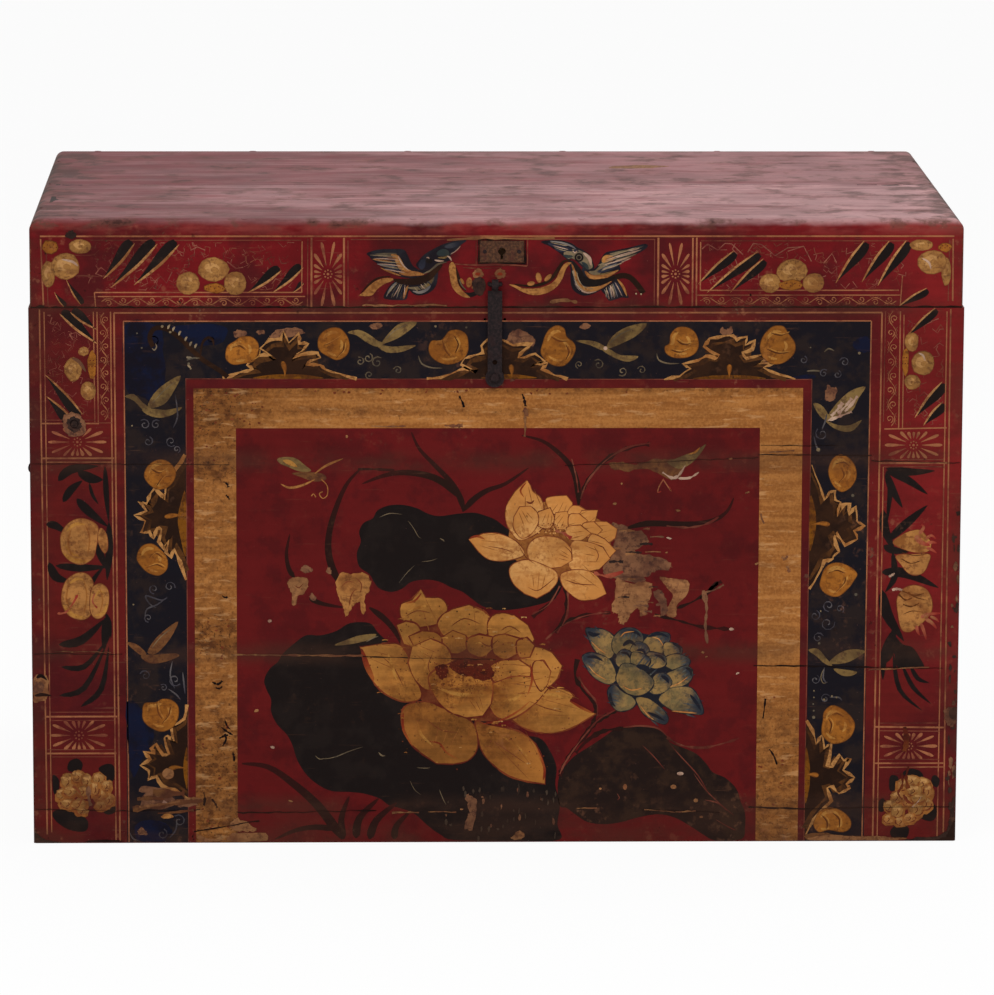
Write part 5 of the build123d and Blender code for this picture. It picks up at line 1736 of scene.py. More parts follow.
def ruffled(film, u, v, ru, rv):
    """One crinkled petal of a many-petalled flower, brown in its folds."""
    film.shape("vein_gold", ellipse(u, v - 1, ru + 0.8, rv + 0.4, count=12), rough=2.4)
    film.shape(
        film.chance.choice(("blossom", "cream", "blossom")),
        ellipse(u, v + 0.6, ru * 0.9, rv * 0.8, count=12), rough=2.6
    )
    film.shape(
        "blossom_pale", ellipse(u - 0.6, v + rv * 0.4, ru * 0.6, rv * 0.26, count=9), rough=1.8
    )
    turn = film.chance.uniform(-1.2, 1.2)
    film.stroke("umber", [
        (
            u + ru * math.cos(turn + a) * 0.86, v + rv * math.sin(turn + a) * 0.74
        ) for a in (3.6, 4.2, 4.8, 5.4)
    ], 1.1, "worn", 3)
    film.stroke("heart_red", [
        (u - ru * 0.3, v - rv * 0.5), (u + ru * 0.1, v - rv * 0.1), (u - ru * 0.1, v + rv * 0.3)
    ], 0.8, "taper", 3)


def paint_left_column():
    film = Film("left_column_leaves", DARK_LEVEL)
    strokes(film, "black", [
        (8, (-385, 327), (-374, 337), (-350, 340)), (7, (-381, 308), (-374, 319), (-364, 327)),
        (9, (-368, 335), (-356, 329), (-346, 328)), (3, (-358, 325), (-355, 314), (-350, 306)),
        (5, (-344, 340), (-343, 315), (-341, 290)), (8, (-369, 311), (-359, 300), (-342, 286)),
        (7, (-396, 288), (-388, 287), (-378, 280)), (7, (-341, 290), (-341, 262), (-343, 238)),
        (7, (-352, 282), (-349, 262), (-342, 246)), (7, (-388, 251), (-366, 249), (-342, 250)),
        (8, (-394, 254), (-388, 241), (-376, 237)), (4, (-360, 228), (-354, 240), (-346, 250)),
        (8, (-386, 180), (-366, 184), (-344, 204)), (9, (-343, 206), (-344, 192), (-347, 176)),
        (5, (-384, 160), (-364, 160), (-345, 182)), (5, (-386, 134), (-364, 141), (-344, 180)),
        (5, (-367, 124), (-349, 140), (-342, 178)), (3, (-346, 210), (-341, 200), (-340, 185)),
    ])
    fills(film, [
        ("black", (-379, 66), (-378, 74), (-371, 77), (-366, 72), (-369, 65)),
        ("black", (-352, 68), (-345, 72), (-338.5, 70), (-338.5, 58), (-344, 56), (-348, 62)),
        ("black", (-393, 60), (-391, 62), (-387, 57), (-388, 46), (-392, 46)),
        ("black", (-393, 28), (-384, 31), (-370, 27), (-362, 20), (-364, 11), (-378, 12),
         (-390, 20)),
        ("black", (-348, 29), (-342, 36), (-337.5, 34), (-338, 28), (-344, 26)),
    ])
    film.done()
    film = Film("left_column_fruits", MOTIF_LEVEL)
    for width, *points in (
        (0.6, (-383, 280), (-377, 289), (-367, 293.5), (-356, 291), (-350, 284), (-352, 268),
         (-355, 258), (-364, 252), (-374, 254), (-382, 262), (-384, 272)),
        (0.5, (-351, 279), (-348, 285), (-343, 279), (-342, 268), (-345, 262), (-350, 270)),
        (0.6, (-383, 228), (-379, 238), (-370, 244.5), (-361, 244), (-355, 236), (-355, 216),
         (-358, 206), (-366, 202), (-377, 206), (-383, 216)),
        (0.6, (-358, 226), (-355, 233), (-348, 235), (-342, 229), (-341.5, 217), (-345, 207),
         (-352, 203), (-358, 209)),
    ):
        film.petal("cream", "umber", points, width)
    strokes(film, "fruit_light", [
        (4, (-381, 262), (-372, 256), (-360, 255)), (3.4, (-382, 216), (-374, 207), (-362, 204)),
        (3, (-354, 206), (-346, 209), (-343, 218)), (3, (-378, 282), (-371, 288), (-362, 288)),
        (2.6, (-377, 234), (-370, 239), (-363, 238)),
    ], "taper")
    strokes(film, "blossom_pink", [
        (1.8, (-387, 208), (-380, 209), (-374, 216), (-369, 225)),
        (1.2, (-354, 226), (-356, 219), (-352, 213)),
    ], "worn")
    strokes(film, "fruit_light", [
        (2, (-380, 270), (-374, 262), (-366, 259)), (2, (-354, 222), (-350, 228), (-345, 226)),
    ], "taper")
    strokes(film, "vein_gold", [
        (1.6, (-374, 284), (-377, 272), (-374, 260)), (1.4, (-362, 288), (-358, 276), (-360, 260)),
        (1.6, (-376, 236), (-379, 222), (-375, 210)), (1.4, (-364, 240), (-361, 224), (-364, 206)),
        (1.4, (-350, 232), (-347, 220), (-350, 208)),
    ], "taper")
    for u, v, ru, rv in (
        (-379, 56, 7, 8), (-370, 60, 7, 7), (-362, 56, 6, 7.5), (-384, 44, 6, 7), (-377, 47, 7, 6),
        (-366, 47, 6, 7), (-379, 36, 8, 6), (-370, 35, 8, 6.5), (-367, 29, 6, 4),
        (-352, 58, 6, 7.5), (-345, 52, 5, 6), (-343, 39, 5, 6.5), (-351, 44, 6, 7),
        (-350, 34, 6, 5.5), (-355, 49, 4, 8),
    ):
        ruffled(film, u, v, ru, rv)
    film.stroke("bare", [(-361, 52), (-361, 42), (-359, 34)], 4, "worn")
    film.stroke("umber", [(-375, 52), (-370, 48), (-367, 41), (-369, 36)], 1.6, "worn")
    film.done()


def paint_right_column():
    film = Film("right_column_leaves", DARK_LEVEL)
    strokes(film, "black", [
        (7, (343, 337), (364, 334), (386, 335)), (7, (343, 335), (362, 327), (380, 314)),
        (7, (343, 334), (349, 318), (358, 302)), (5, (344, 334), (347, 318), (344, 285)),
        (8, (345, 272), (362, 288), (380, 304)), (8, (341, 300), (343, 282), (352, 262)),
        (7, (342, 268), (350, 264), (364, 262)), (9, (340, 244), (362, 243), (391, 230)),
        (6, (350, 262), (352, 240), (344, 226)), (10, (341, 228), (346, 206), (361, 182)),
        (7, (352, 192), (344, 170), (343, 147)), (8, (352, 190), (348, 170), (340.5, 160)),
        (4, (352, 170), (358, 138), (378, 119)), (4, (360, 160), (370, 140), (386, 125)),
        (4, (367, 160), (374, 148), (384, 144)), (5, (352, 196), (352, 180), (356, 165)),
        (3, (356, 225), (366, 222), (374, 218)),
    ])
    fills(film, [
        ("black", (352, 187), (360, 179), (369, 176), (376, 166), (379, 158), (366, 158),
         (356, 158), (353, 170)),
        ("black", (350, 55), (352, 60), (358, 58), (357, 48), (351, 46)),
        ("black", (362, 62), (368, 66), (377, 64), (380, 58), (368, 57)),
        ("black", (388, 58), (391, 60), (395, 56), (393, 49), (388, 52)),
        ("black", (341, 36), (345, 39), (348, 33), (345, 27), (341, 28)),
        ("black", (378, 22), (386, 32), (391, 33), (393, 24), (388, 18)),
        ("black", (352, 10), (360, 16), (368, 12), (366, 3), (354, 3)),
    ])
    film.done()
    film = Film("right_column_fruits", MOTIF_LEVEL)
    film.petal("gold", "umber", [
        (350, 270.5), (357, 277), (365, 281), (374, 282), (380, 276), (384, 270), (382, 263),
        (372, 261.5), (361, 264),
    ], 0.5)
    strokes(film, "blossom_pink", [
        (3.4, (373, 278), (377, 284), (375, 287)), (3, (379, 274), (384, 277), (388, 274)),
        (3.4, (380, 270), (385, 271), (389, 270)), (3, (380, 266), (385, 264), (389, 261)),
        (6, (370, 277), (375, 271), (383, 268)),
    ], "brush")
    for points in (
        [(353, 259), (358, 250), (364, 243), (371, 241), (378, 244), (382, 252), (383, 260),
         (370, 260.5)],
        [(354, 218), (357, 226), (363, 231), (371, 232.5), (380, 229), (385, 221), (386, 211),
         (382, 203), (374, 195), (366, 190), (359, 192), (356, 202)],
    ):
        film.petal("cream", "umber", points, 0.5)
    strokes(film, "fruit_dark", [
        (1.2, (353, 229), (362, 226), (372, 221), (380, 219)),
        (0.8, (360, 206), (368, 209), (378, 208)), (0.8, (358, 262), (370, 259), (382, 261)),
    ], "taper")
    strokes(film, "blossom_pink", [
        (4, (376, 203), (382, 206), (394, 207)), (4, (380, 202), (386, 198), (390, 193)),
        (3.6, (376, 198), (379, 190), (381, 183)), (3.4, (372, 196), (373, 191), (375, 187)),
        (3, (384, 204), (389, 202), (392, 199)),
    ], "brush")
    strokes(film, "pale", [
        (2.2, (347, 240), (349, 241), (352, 243)), (2, (350, 228), (354, 229), (359, 228)),
    ], "worn")
    strokes(film, "fruit_dark", [
        (2.2, (356, 224), (362, 219), (368, 221)), (1.6, (360, 215), (367, 213), (374, 216)),
        (1.4, (364, 226), (370, 223), (378, 225)), (1.2, (358, 256), (366, 252), (374, 254)),
    ], "worn")
    for u, v, ru, rv in (
        (380, 52, 8, 7), (370, 55, 8, 6), (362, 51, 6, 6.5), (385, 45, 5, 8), (372, 46, 8, 6),
        (383, 34, 6, 8), (357, 40, 6, 7), (351, 32, 5.5, 7), (350, 20, 5, 5.5), (358, 27, 6, 8),
        (361, 18, 6, 5), (375, 29, 7, 8), (369, 21, 6, 5), (366, 36, 4, 6), (377, 39, 6, 5),
    ):
        ruffled(film, u, v, ru, rv)
    strokes(film, "umber", [
        (3, (363, 42), (367, 36), (372, 34)), (2.6, (362, 50), (358, 44), (362, 38)),
    ], "worn")
    strokes(film, "pale", [(1.6, (371, 31), (376, 36), (379, 41))], "worn")
    film.done()


def paint_lotus_leaves():
    film = Film("upper_lotus_leaf", DARK_LEVEL)
    film.soft("black", [
        (12, 282), (0, 291), (-9, 295), (-20, 298), (-35, 297), (-50, 295), (-60, 297), (-70, 302),
        (-82, 305), (-95, 304.5), (-105, 300), (-109, 293), (-117, 289), (-121, 281), (-119.5, 272),
        (-123, 262), (-121, 250), (-112, 243), (-108, 236), (-103, 230), (-93, 227), (-83, 230),
        (-75, 236), (-62, 238), (-50, 236), (-40, 231), (-30, 227), (-22, 221), (-12, 214),
        (0, 210.5), (15, 211), (32, 214), (48, 219), (56, 227), (58, 240), (45, 262), (28, 276),
    ])
    strokes(film, "curl", [
        (0.7, (-103, 294), (-94, 297.5), (-83, 296.5)),
        (0.6, (-78, 291), (-73, 284), (-69, 277), (-66, 275)),
        (0.5, (-86, 235), (-79, 244), (-72, 251)), (0.5, (-66, 254), (-58, 255), (-52, 257)),
        (1.0, (-50, 275), (-47, 273.5), (-46, 272)),
    ], "taper")
    film.done()
    film = Film("lower_left_lotus_leaf", DARK_LEVEL)
    fills(film, [
        ("black", (-129, 199), (-112, 199), (-105, 191), (-97, 183), (-88, 176), (-74, 168),
         (-40, 130), (10, 100), (38, 95), (48, 83), (54, 68), (53, 52), (57, 34), (55, 16), (57, 2),
         (20, 0.8), (-36, 2), (-49, 7), (-60, 15), (-72, 26), (-84, 31), (-95, 34), (-103, 40),
         (-117, 44.5), (-130, 46), (-146, 47), (-158, 53), (-168, 62), (-176, 75), (-180, 88),
         (-185, 98), (-194, 108), (-199, 119), (-199, 130), (-203, 139), (-205, 148), (-200, 158),
         (-193, 164), (-188, 172), (-178, 181), (-168, 188), (-155, 188), (-141, 192)),
        ("olive", (-143, 179), (-132, 184), (-120, 188), (-106, 189), (-112, 184), (-128, 180)),
    ])
    strokes(film, "curl", [
        (0.9, (-152, 76), (-142, 78), (-130, 83), (-118, 87)),
        (0.8, (-160, 79), (-156, 76), (-150, 77)), (1.4, (-104, 82), (-101, 79), (-98, 79)),
        (1.2, (-115, 182), (-108, 186), (-104, 187)), (0.6, (-70, 68), (-62, 67.5), (-58, 68)),
        (0.8, (-50, 48), (-47, 40), (-44, 34)), (0.6, (-76, 56), (-72, 48), (-66, 43)),
    ], "taper")
    film.done()
    film = Film("lower_right_lotus_leaf", DARK_LEVEL)
    film.soft("brown_black", [
        (57, 62), (63, 71), (71, 79), (85, 88), (98, 97), (107, 103), (120, 104), (131, 105.5),
        (144, 102), (151, 96.5), (155, 90), (165, 86), (178, 80), (187, 71), (193, 63), (204, 58),
        (214, 48), (218, 36), (222, 26), (222, 12), (219, 2), (196, 0.8), (184, 7), (172, 15),
        (159, 22), (145, 25), (128, 22.5), (112, 18), (97, 16), (82, 18), (71, 25), (63, 31),
        (57, 33), (55, 48),
    ])
    strokes(film, "stem", [
        (1.6, (112, 104), (128, 105.5), (144, 103), (154, 94)),
        (1.0, (152, 92), (164, 78), (180, 60), (190, 42)),
        (1.0, (176, 62), (186, 48), (200, 34), (212, 24)), (1.4, (186, 38), (198, 35), (206, 28)),
        (0.9, (130, 88), (140, 78), (150, 66)), (0.9, (196, 20), (206, 14), (214, 10)),
        (0.8, (108, 44), (110, 40), (108, 38)),
    ], "taper")
    for u, v, ru, rv in (
        (115, 50, 1.8, 2.6), (158, 50, 2.6, 2), (178, 37.5, 2, 1.8), (93, 48.5, 1.2, 1),
        (183, 22.5, 1.6, 1),
    ):
        film.soft("bare_tan", ellipse(u, v, ru, rv, count=7))
    film.soft("pale", ellipse(164, 62, 3, 1.6, 0, 7))
    film.done()


def paint_reeds_and_stems():
    film = Film("reeds", LINE_LEVEL)
    strokes(film, "reed", [
        (5, (-29, 299), (-32, 311), (-40, 325), (-54, 340), (-68, 355), (-75, 370)),
        (6, (-34, 312), (-44, 323), (-60, 331), (-82, 334), (-100, 331), (-118, 324)),
        (6, (-135, 232), (-143, 244), (-148, 262), (-147, 282), (-140, 306), (-131, 325),
         (-120, 337)),
        (5, (-30, 299), (-20, 310), (-8, 318), (8, 324), (28, 338)),
        (5, (72, 305), (71, 322), (66, 338), (55, 351), (40, 362), (22, 367)),
        (5, (112, 283), (132, 288), (158, 287.5), (178, 288), (194, 292), (204, 300), (209, 311)),
        (4, (-178, 240), (-183, 248), (-185, 262), (-182, 279)),
        (4, (-165, 221), (-152, 216), (-134, 213)),
        (5, (-112, 213), (-99, 203), (-89, 191), (-82, 178), (-76, 165)),
        (8, (-136, 3), (-146, 18), (-160, 36), (-180, 54), (-202, 69), (-225, 72)),
        (5, (-140, 12), (-160, 14), (-178, 11), (-196, 3)), (6, (-135, 3), (-137, 22), (-130, 42)),
        (7, (-124, 4), (-121, 22), (-104, 40)), (7, (-112, 3), (-106, 20), (-88, 36)),
        (6, (-90, 3), (-88, 15), (-76, 28)), (4, (196, 236), (188, 227), (180, 220)),
    ], "brush", 1.2)
    film.done()
    film = Film("stems", DARK_LEVEL)
    strokes(film, "reed", [
        (2.4, (72, 303), (75, 316), (83, 331), (96, 345), (114, 355), (134, 359)),
        (2.0, (60, 236), (62, 220), (60, 204), (52, 190)), (2.0, (57, 234), (48, 218), (32, 204)),
        (1.8, (50, 190), (62, 200), (80, 206), (101, 208)),
        (2.0, (140, 206), (160, 201), (182, 195), (206, 193)),
        (1.8, (160, 212), (176, 219), (190, 230), (199, 236)),
        (2.4, (72, 166), (70, 151), (77, 138), (87, 126), (88, 114), (80, 98), (69, 84), (60, 70),
         (57, 60)),
        (2.4, (107, 119), (95, 113), (84, 104), (78, 95)),
        (2.4, (113, 103), (96, 101), (82, 93), (71, 81)),
        (1.2, (-122, 337), (-108, 337), (-90, 336)),
    ], "worn", 1.7)
    strokes(film, "stem", [
        (1.3, (74, 310), (78, 322), (86, 334), (99, 347), (116, 356.5), (135, 360)),
        (1.2, (61.5, 236), (63.5, 220), (62, 204), (54, 190)),
        (1.2, (56, 232), (46, 215), (32, 207)),
        (1.2, (44, 184), (58, 196), (78, 205), (100, 208.5)),
        (1.6, (152, 95), (164, 88), (184, 85.5), (204, 90), (216, 94)),
        (1.2, (73, 150), (79, 140), (89, 127), (90, 114)),
        (1.2, (57, 62), (62, 73), (72, 88), (82, 101), (92, 112), (106, 120)),
        (1.6, (150, 286), (170, 284.5), (186, 288), (196, 294)),
        (1.2, (66, 346), (70, 330), (72, 316)),
    ], "worn", 1.3)
    strokes(film, "bare", [
        (4, (183, 228), (186, 212), (185, 196), (187, 180)),
        (1.6, (182, 226), (192, 228), (201, 233)),
    ], "worn")
    film.done()


def paint_small_creatures():
    film = Film("panel_swallows", DARK_LEVEL)
    fills(film, [
        ("olive", (-193, 346), (-187, 348), (-177, 347), (-169, 341), (-163, 335.5), (-173, 335),
         (-183, 339), (-190, 342)),
        ("fruit_light", (-188, 345), (-181, 345), (-175, 339), (-183, 341)),
        ("brown", (-180, 333.5), (-166, 334.5), (-153, 333), (-150, 328), (-160, 326), (-172, 330)),
    ])
    strokes(film, "cream", [
        (2.4, (-190, 324), (-182, 320.5), (-170, 323), (-160, 328)),
        (2.2, (-160, 333), (-152, 339), (-144, 343), (-135, 346.5)),
    ], "taper")
    strokes(film, "cream", [
        (0.9, (-154, 328), (-149, 322), (-149, 314), (-153, 311), (-156, 315), (-153, 317)),
        (1.0, (-163, 313), (-161, 315), (-159, 312)),
    ], "even")
    film.ragged("brown", [
        (99, 342), (108, 343), (122, 341), (135, 345), (148, 346), (160, 345), (164, 338),
        (160, 329), (152, 328), (142, 333), (130, 337), (116, 335), (102, 337),
    ], 1.6)
    fills(film, [
        ("olive", (150, 343), (157, 346), (167, 350), (175, 353), (184, 359), (178, 349),
         (170, 341), (160, 337)),
        ("fruit_light", (168, 350), (173, 352), (179, 356.5), (175, 351)),
    ])
    strokes(film, "pale", [
        (2.4, (146, 334), (154, 329), (160, 331), (166, 340)),
        (2.0, (160, 328.5), (170, 329), (178, 334)),
    ], "worn")
    strokes(film, "blossom_pink", [
        (1.0, (147, 328), (143, 321), (142, 316), (145, 317)),
        (1.0, (147, 327), (151, 321), (154, 317), (152, 321)),
    ], "even")
    film.done()


def paint_buds():
    film = Film("buds", MOTIF_LEVEL)
    patches(film, [
        ("bare_tan", 1.2, (-184, 236), (-180, 239.5), (-168, 239.5), (-166, 232), (-170, 226),
         (-175, 223), (-176, 217), (-180, 215), (-180.5, 225), (-183, 231)),
        ("cream", 1.6, (-141, 237), (-136, 245), (-128, 243), (-118, 244), (-111, 238), (-112, 228),
         (-116, 221), (-116, 208), (-119, 208), (-121, 218), (-127, 213), (-133, 205), (-135, 213),
         (-140, 224)),
    ])
    strokes(film, "umber", [
        (1.0, (-137, 231), (-132, 236), (-126, 236)), (1.0, (-130, 214), (-128, 224), (-124, 230)),
        (1.0, (-124, 240), (-119, 234), (-120, 226)), (0.8, (-178, 233), (-174, 231), (-170, 235)),
    ], "taper")
    patches(film, [
        ("bare", 1.0, (-173, 247), (-168, 251), (-162, 247), (-167, 244)),
        ("bare", 1.0, (-150, 246), (-148, 250), (-145, 246), (-147, 243)),
        ("bare", 1.0, (-165, 223), (-162, 226), (-159, 221), (-162, 219)),
        ("bare_tan", 2.0, (144, 240), (152, 239), (160, 238), (168, 237), (171, 232), (167, 222),
         (160, 215), (159, 205), (153, 204), (150, 210), (156, 222), (151, 230)),
        ("bare", 1.8, (138, 226), (146, 228), (150, 218), (151, 208), (146, 205), (144, 216)),
    ])
    film.done()


def paint_cream_lotus():
    film = Film("cream_lotus", MOTIF_LEVEL)
    heart = (40, 268)
    film.soft("vein_gold", [
        (12, 286), (20, 304), (34, 306), (46, 308), (60, 308), (72, 300), (86, 294), (98, 284),
        (100, 262), (88, 246), (70, 242), (50, 240), (28, 248), (12, 262),
    ])
    for points in (
        [(27, 325.5), (16, 317), (8.5, 304), (8, 291), (13, 280), (22, 273), (40, 283), (42, 300),
         (39, 311), (32, 317), (30, 322)],
        [(43, 310), (52, 313), (61, 312), (67, 307), (66, 299), (58, 296), (48, 298)],
        [(66, 304), (73, 304), (80, 298), (78, 289), (68, 289), (62, 296)],
        [(75, 300), (88, 299.5), (87, 289), (79, 286), (72, 292)],
        [(84, 289), (97, 290), (105, 283), (105, 275), (98, 271), (88, 276)],
        [(37, 299), (47, 301), (52, 292), (47, 284), (38, 285), (33, 292)],
        [(52, 298), (61, 298), (66, 290), (61, 283), (51, 285)],
        [(64, 296), (73, 297), (79, 290), (74, 284), (64, 285)],
        [(76, 288), (86, 290), (92, 282), (86, 275), (77, 277)],
        [(30, 304), (21, 302), (15, 294), (15, 284), (22, 275), (31, 279), (37, 289), (36, 298)],
        [(62, 285), (74, 287), (82, 279), (74, 272), (62, 275)],
        [(84, 279), (96, 274), (104, 264), (98, 255), (88, 258), (80, 268)],
        [(-23, 274), (-12, 279.5), (-1, 280), (9, 277), (19, 271), (25, 261), (15, 256), (2, 254.5),
         (-8, 256.5), (-16, 263)],
        [(66, 271), (80, 272), (94, 267), (99, 257), (91, 247), (77, 245), (64, 249)],
        [(27, 266), (34, 275), (46, 277), (58, 274), (66, 266), (66, 256), (57, 249), (42, 248),
         (30, 254)],
        [(57, 243), (70, 247), (85, 244.5), (93, 236), (96, 226), (88, 220), (75, 219), (65, 225),
         (58, 233)],
        [(11, 246), (16, 253), (28, 256), (42, 251), (53, 245), (54, 236), (47, 227), (36, 222.5),
         (25, 225), (15, 234)],
    ):
        film.pointed("petal", "umber", points, heart, 0.75)
    strokes(film, "umber", [
        (1.8, (26, 308), (30, 306.5), (33, 309)), (0.8, (28, 231), (36, 228), (44, 233), (52, 240)),
        (0.8, (60, 268), (66, 262), (66, 255)), (0.7, (20, 268), (26, 258), (34, 252)),
        (0.8, (86, 268), (90, 260), (88, 254)), (0.7, (-8, 268), (4, 266), (14, 263)),
        (0.9, (60, 238), (72, 234), (88, 233)), (1.2, (50, 284), (56, 280), (62, 283)),
    ], "taper")
    strokes(film, "red_tip", [
        (2.2, (-24, 275), (-17, 277), (-10, 274)), (1.6, (26, 325), (21, 318), (24, 312)),
    ], "taper")
    strokes(film, "blossom_pink", [
        (4, (86, 244), (98, 241), (112, 245)), (3, (52, 282), (60, 279), (66, 275)),
    ], "worn")
    for _ in range(34):
        film.dot("umber", 36 + 24 * film.chance.random(), 277 + 12 * film.chance.random(), 0.6, 4)
    for _ in range(20):
        film.dot("petal", 36 + 26 * film.chance.random(), 279 + 9 * film.chance.random(), 0.9, 5)
    film.done()
    film = Film("bare_patch", MOTIF_LEVEL - 1)
    patches(film, [
        ("bare", 3.0, (103, 288), (118, 284), (131, 278), (133, 270), (124, 266), (123, 261),
         (141, 259), (150, 255), (155, 248), (141, 245), (133, 241), (128, 236), (108, 238),
         (95, 243), (96, 258), (104, 270), (103, 280)),
        ("bare_tan", 2.4, (107, 239), (118, 234), (130, 236), (137, 234), (137, 224), (133, 212),
         (134, 206), (128, 205), (126, 212), (119, 206), (113, 198), (108, 200), (108, 207),
         (102, 210), (105, 224)),
    ])
    for _ in range(34):
        u, v = film.chance.uniform(94, 146), film.chance.uniform(204, 284)
        if film.covers(u, v):
            ink = film.chance.choice(("bare", "bare_tan", "filler", "smudge"))
            dash(film, ink, u, v, film.chance.uniform(5, 14), film.chance.uniform(1, 2.6), 4)
    film.done()


def paint_ochre_lotus():
    film = Film("ochre_lotus", MOTIF_LEVEL)
    heart = (-28, 150)
    film.soft("umber", [
        (-84, 190), (-70, 208), (-46, 206), (-24, 206), (0, 196), (20, 184), (40, 168), (46, 148),
        (40, 124), (20, 112), (-4, 110), (-30, 112), (-60, 124), (-80, 150),
    ])
    for points in (
        [(-85, 207), (-84, 216), (-75, 220), (-66, 228), (-62, 222), (-48, 221), (-43, 210),
         (-52, 198), (-68, 195), (-80, 198)],
        [(-52, 196), (-48, 206), (-38, 212), (-24, 214), (-11, 210), (-4, 202), (-6, 190),
         (-22, 182), (-42, 184)],
        [(-8, 196), (-4, 205), (5, 208), (16, 206), (27, 196), (34, 184), (28, 172), (10, 170),
         (-4, 180)],
        [(22, 176), (38, 177), (50, 172), (57, 160), (55, 149), (47, 141), (36, 142), (24, 158)],
        [(-87, 196), (-80, 201), (-70, 198), (-66, 188), (-72, 178), (-82, 180)],
        [(-76, 186), (-66, 192), (-52, 190), (-46, 180), (-54, 170), (-70, 172)],
        [(-48, 186), (-38, 191), (-27, 188), (-24, 178), (-34, 171), (-46, 174)],
        [(-26, 184), (-15, 189), (-4, 185), (-2, 176), (-12, 168), (-24, 172)],
        [(-3, 186), (8, 189), (20, 184), (22, 174), (10, 166), (-2, 171)],
        [(18, 182), (27, 186), (33, 178), (30, 168), (20, 168)],
        [(-119, 177), (-101, 180.5), (-86, 180), (-78, 170), (-71, 150), (-66, 132), (-80, 127.5),
         (-95, 133), (-105, 141), (-112, 152), (-116, 165)],
        [(34, 138), (48, 139.5), (60, 139), (69, 133), (66, 128), (76, 122), (87, 117), (75, 108),
         (63, 102), (48, 99), (32, 101), (18, 108), (8, 118), (16, 132)],
        [(-18, 110), (-16, 95), (-12, 82), (-2, 70), (12, 60), (28, 55), (43, 54), (44, 66),
         (40, 80), (33, 92), (20, 101), (5, 105), (-8, 107)],
        [(-79, 125), (-84, 115), (-82, 102), (-76, 90), (-65, 80), (-52, 73), (-38, 71), (-25, 74),
         (-17, 83), (-16, 95), (-20, 108), (-32, 116), (-48, 123), (-62, 128)],
        [(-78, 163), (-73, 177), (-58, 185), (-44, 178), (-39, 164), (-48, 146), (-60, 138),
         (-72, 148)],
        [(-6, 158), (4, 165), (20, 166), (30, 158), (30, 146), (18, 140), (0, 144)],
        [(-8, 140), (-4, 119), (8, 111), (22, 116), (36, 127), (45, 140), (33, 150), (18, 151),
         (4, 147)],
        [(-60, 150), (-54, 132), (-42, 119), (-26, 113), (-12, 116), (-4, 126), (-3, 146),
         (-14, 158), (-32, 163), (-48, 160)],
        [(34, 164), (42, 165), (47, 155), (46, 144), (40, 137), (34, 146), (32, 156)],
    ):
        # The lowest petals and those behind the heart are darker
        height = sum(v for _, v in points) / len(points)
        ink = "ochre_low" if height < 108 or 165 < height < 186 else "ochre_petal"
        film.pointed(ink, "petal_edge", points, heart, 1.5)
    patches(film, [
        ("heart_red", 2.4, (-42, 160), (-30, 168), (-12, 163), (-2, 155), (-8, 147), (-22, 150),
         (-34, 153)),
        ("heart_red", 2.0, (-54, 158), (-46, 162), (-42, 154), (-48, 148)),
    ])
    strokes(film, "red_tip", [
        (5, (-119, 176), (-114, 160), (-108, 147)), (2.4, (-82, 118), (-82, 103), (-74, 88)),
        (2.0, (42, 56), (43, 68), (36, 86)), (1.6, (-66, 226), (-72, 219), (-80, 217)),
        (2.4, (66, 128), (76, 122), (86, 117)), (2.0, (30, 162), (32, 148), (28, 134)),
        (1.6, (-60, 92), (-50, 90), (-44, 82), (-34, 76)),
        (1.8, (-12, 108), (2, 110), (18, 118), (30, 128)),
    ], "taper")
    strokes(film, "umber", [
        (0.8, (-80, 205), (-70, 210), (-58, 208)), (0.8, (-40, 196), (-28, 203), (-14, 198)),
        (0.8, (4, 192), (12, 196), (22, 190)), (0.8, (-100, 168), (-90, 158), (-82, 142)),
        (0.8, (-62, 112), (-48, 102), (-34, 100)), (0.8, (-2, 92), (12, 82), (26, 72)),
        (0.8, (30, 128), (44, 122), (60, 118)), (0.9, (-14, 182), (-6, 178), (2, 184)),
        (0.8, (-56, 172), (-60, 160), (-56, 150)),
    ], "taper")
    strokes(film, "fruit_light", [
        (3.4, (-52, 140), (-30, 134), (-8, 134)), (3, (-66, 174), (-62, 164), (-64, 154)),
        (3, (6, 128), (16, 130), (26, 138)), (3, (-96, 172), (-92, 160), (-88, 148)),
        (2.6, (-78, 210), (-68, 213), (-58, 215)), (2.6, (42, 134), (52, 134), (60, 130)),
        (2.6, (-70, 110), (-66, 98), (-56, 88)), (2.4, (6, 96), (18, 88), (28, 78)),
    ], "taper")
    # Rows of dots on the heart, then specks and short dashes over all of the flower
    top = film.cells
    for row in range(7):
        film.restart(top)
        for i in range(20):
            u, v = -56 + 3.2 * i, 138 + 3.9 * row
            film.dot("umber", u + film.chance.uniform(0, 2), v + film.chance.uniform(0, 2), 0.6, 4)
    for i in range(260):
        u, v = film.chance.uniform(-112, 74), film.chance.uniform(62, 218)
        if film.covers(u, v):
            film.restart(top + i % SPECK_RANKS)
            film.dot(
                film.chance.choice(("umber", "umber", "leaf_brown")), u, v,
                film.chance.uniform(0.35, 0.85), 4
            )
    for i in range(90):
        u, v = film.chance.uniform(-110, 70), film.chance.uniform(64, 216)
        if film.covers(u, v):
            ink = film.chance.choice(("fruit_light", "vein_gold", "vein_gold", "blossom_pale"))
            film.restart(top + i % SPECK_RANKS)
            dash(film, ink, u, v, film.chance.uniform(2, 7), film.chance.uniform(0.7, 1.5), 3)
    film.done()


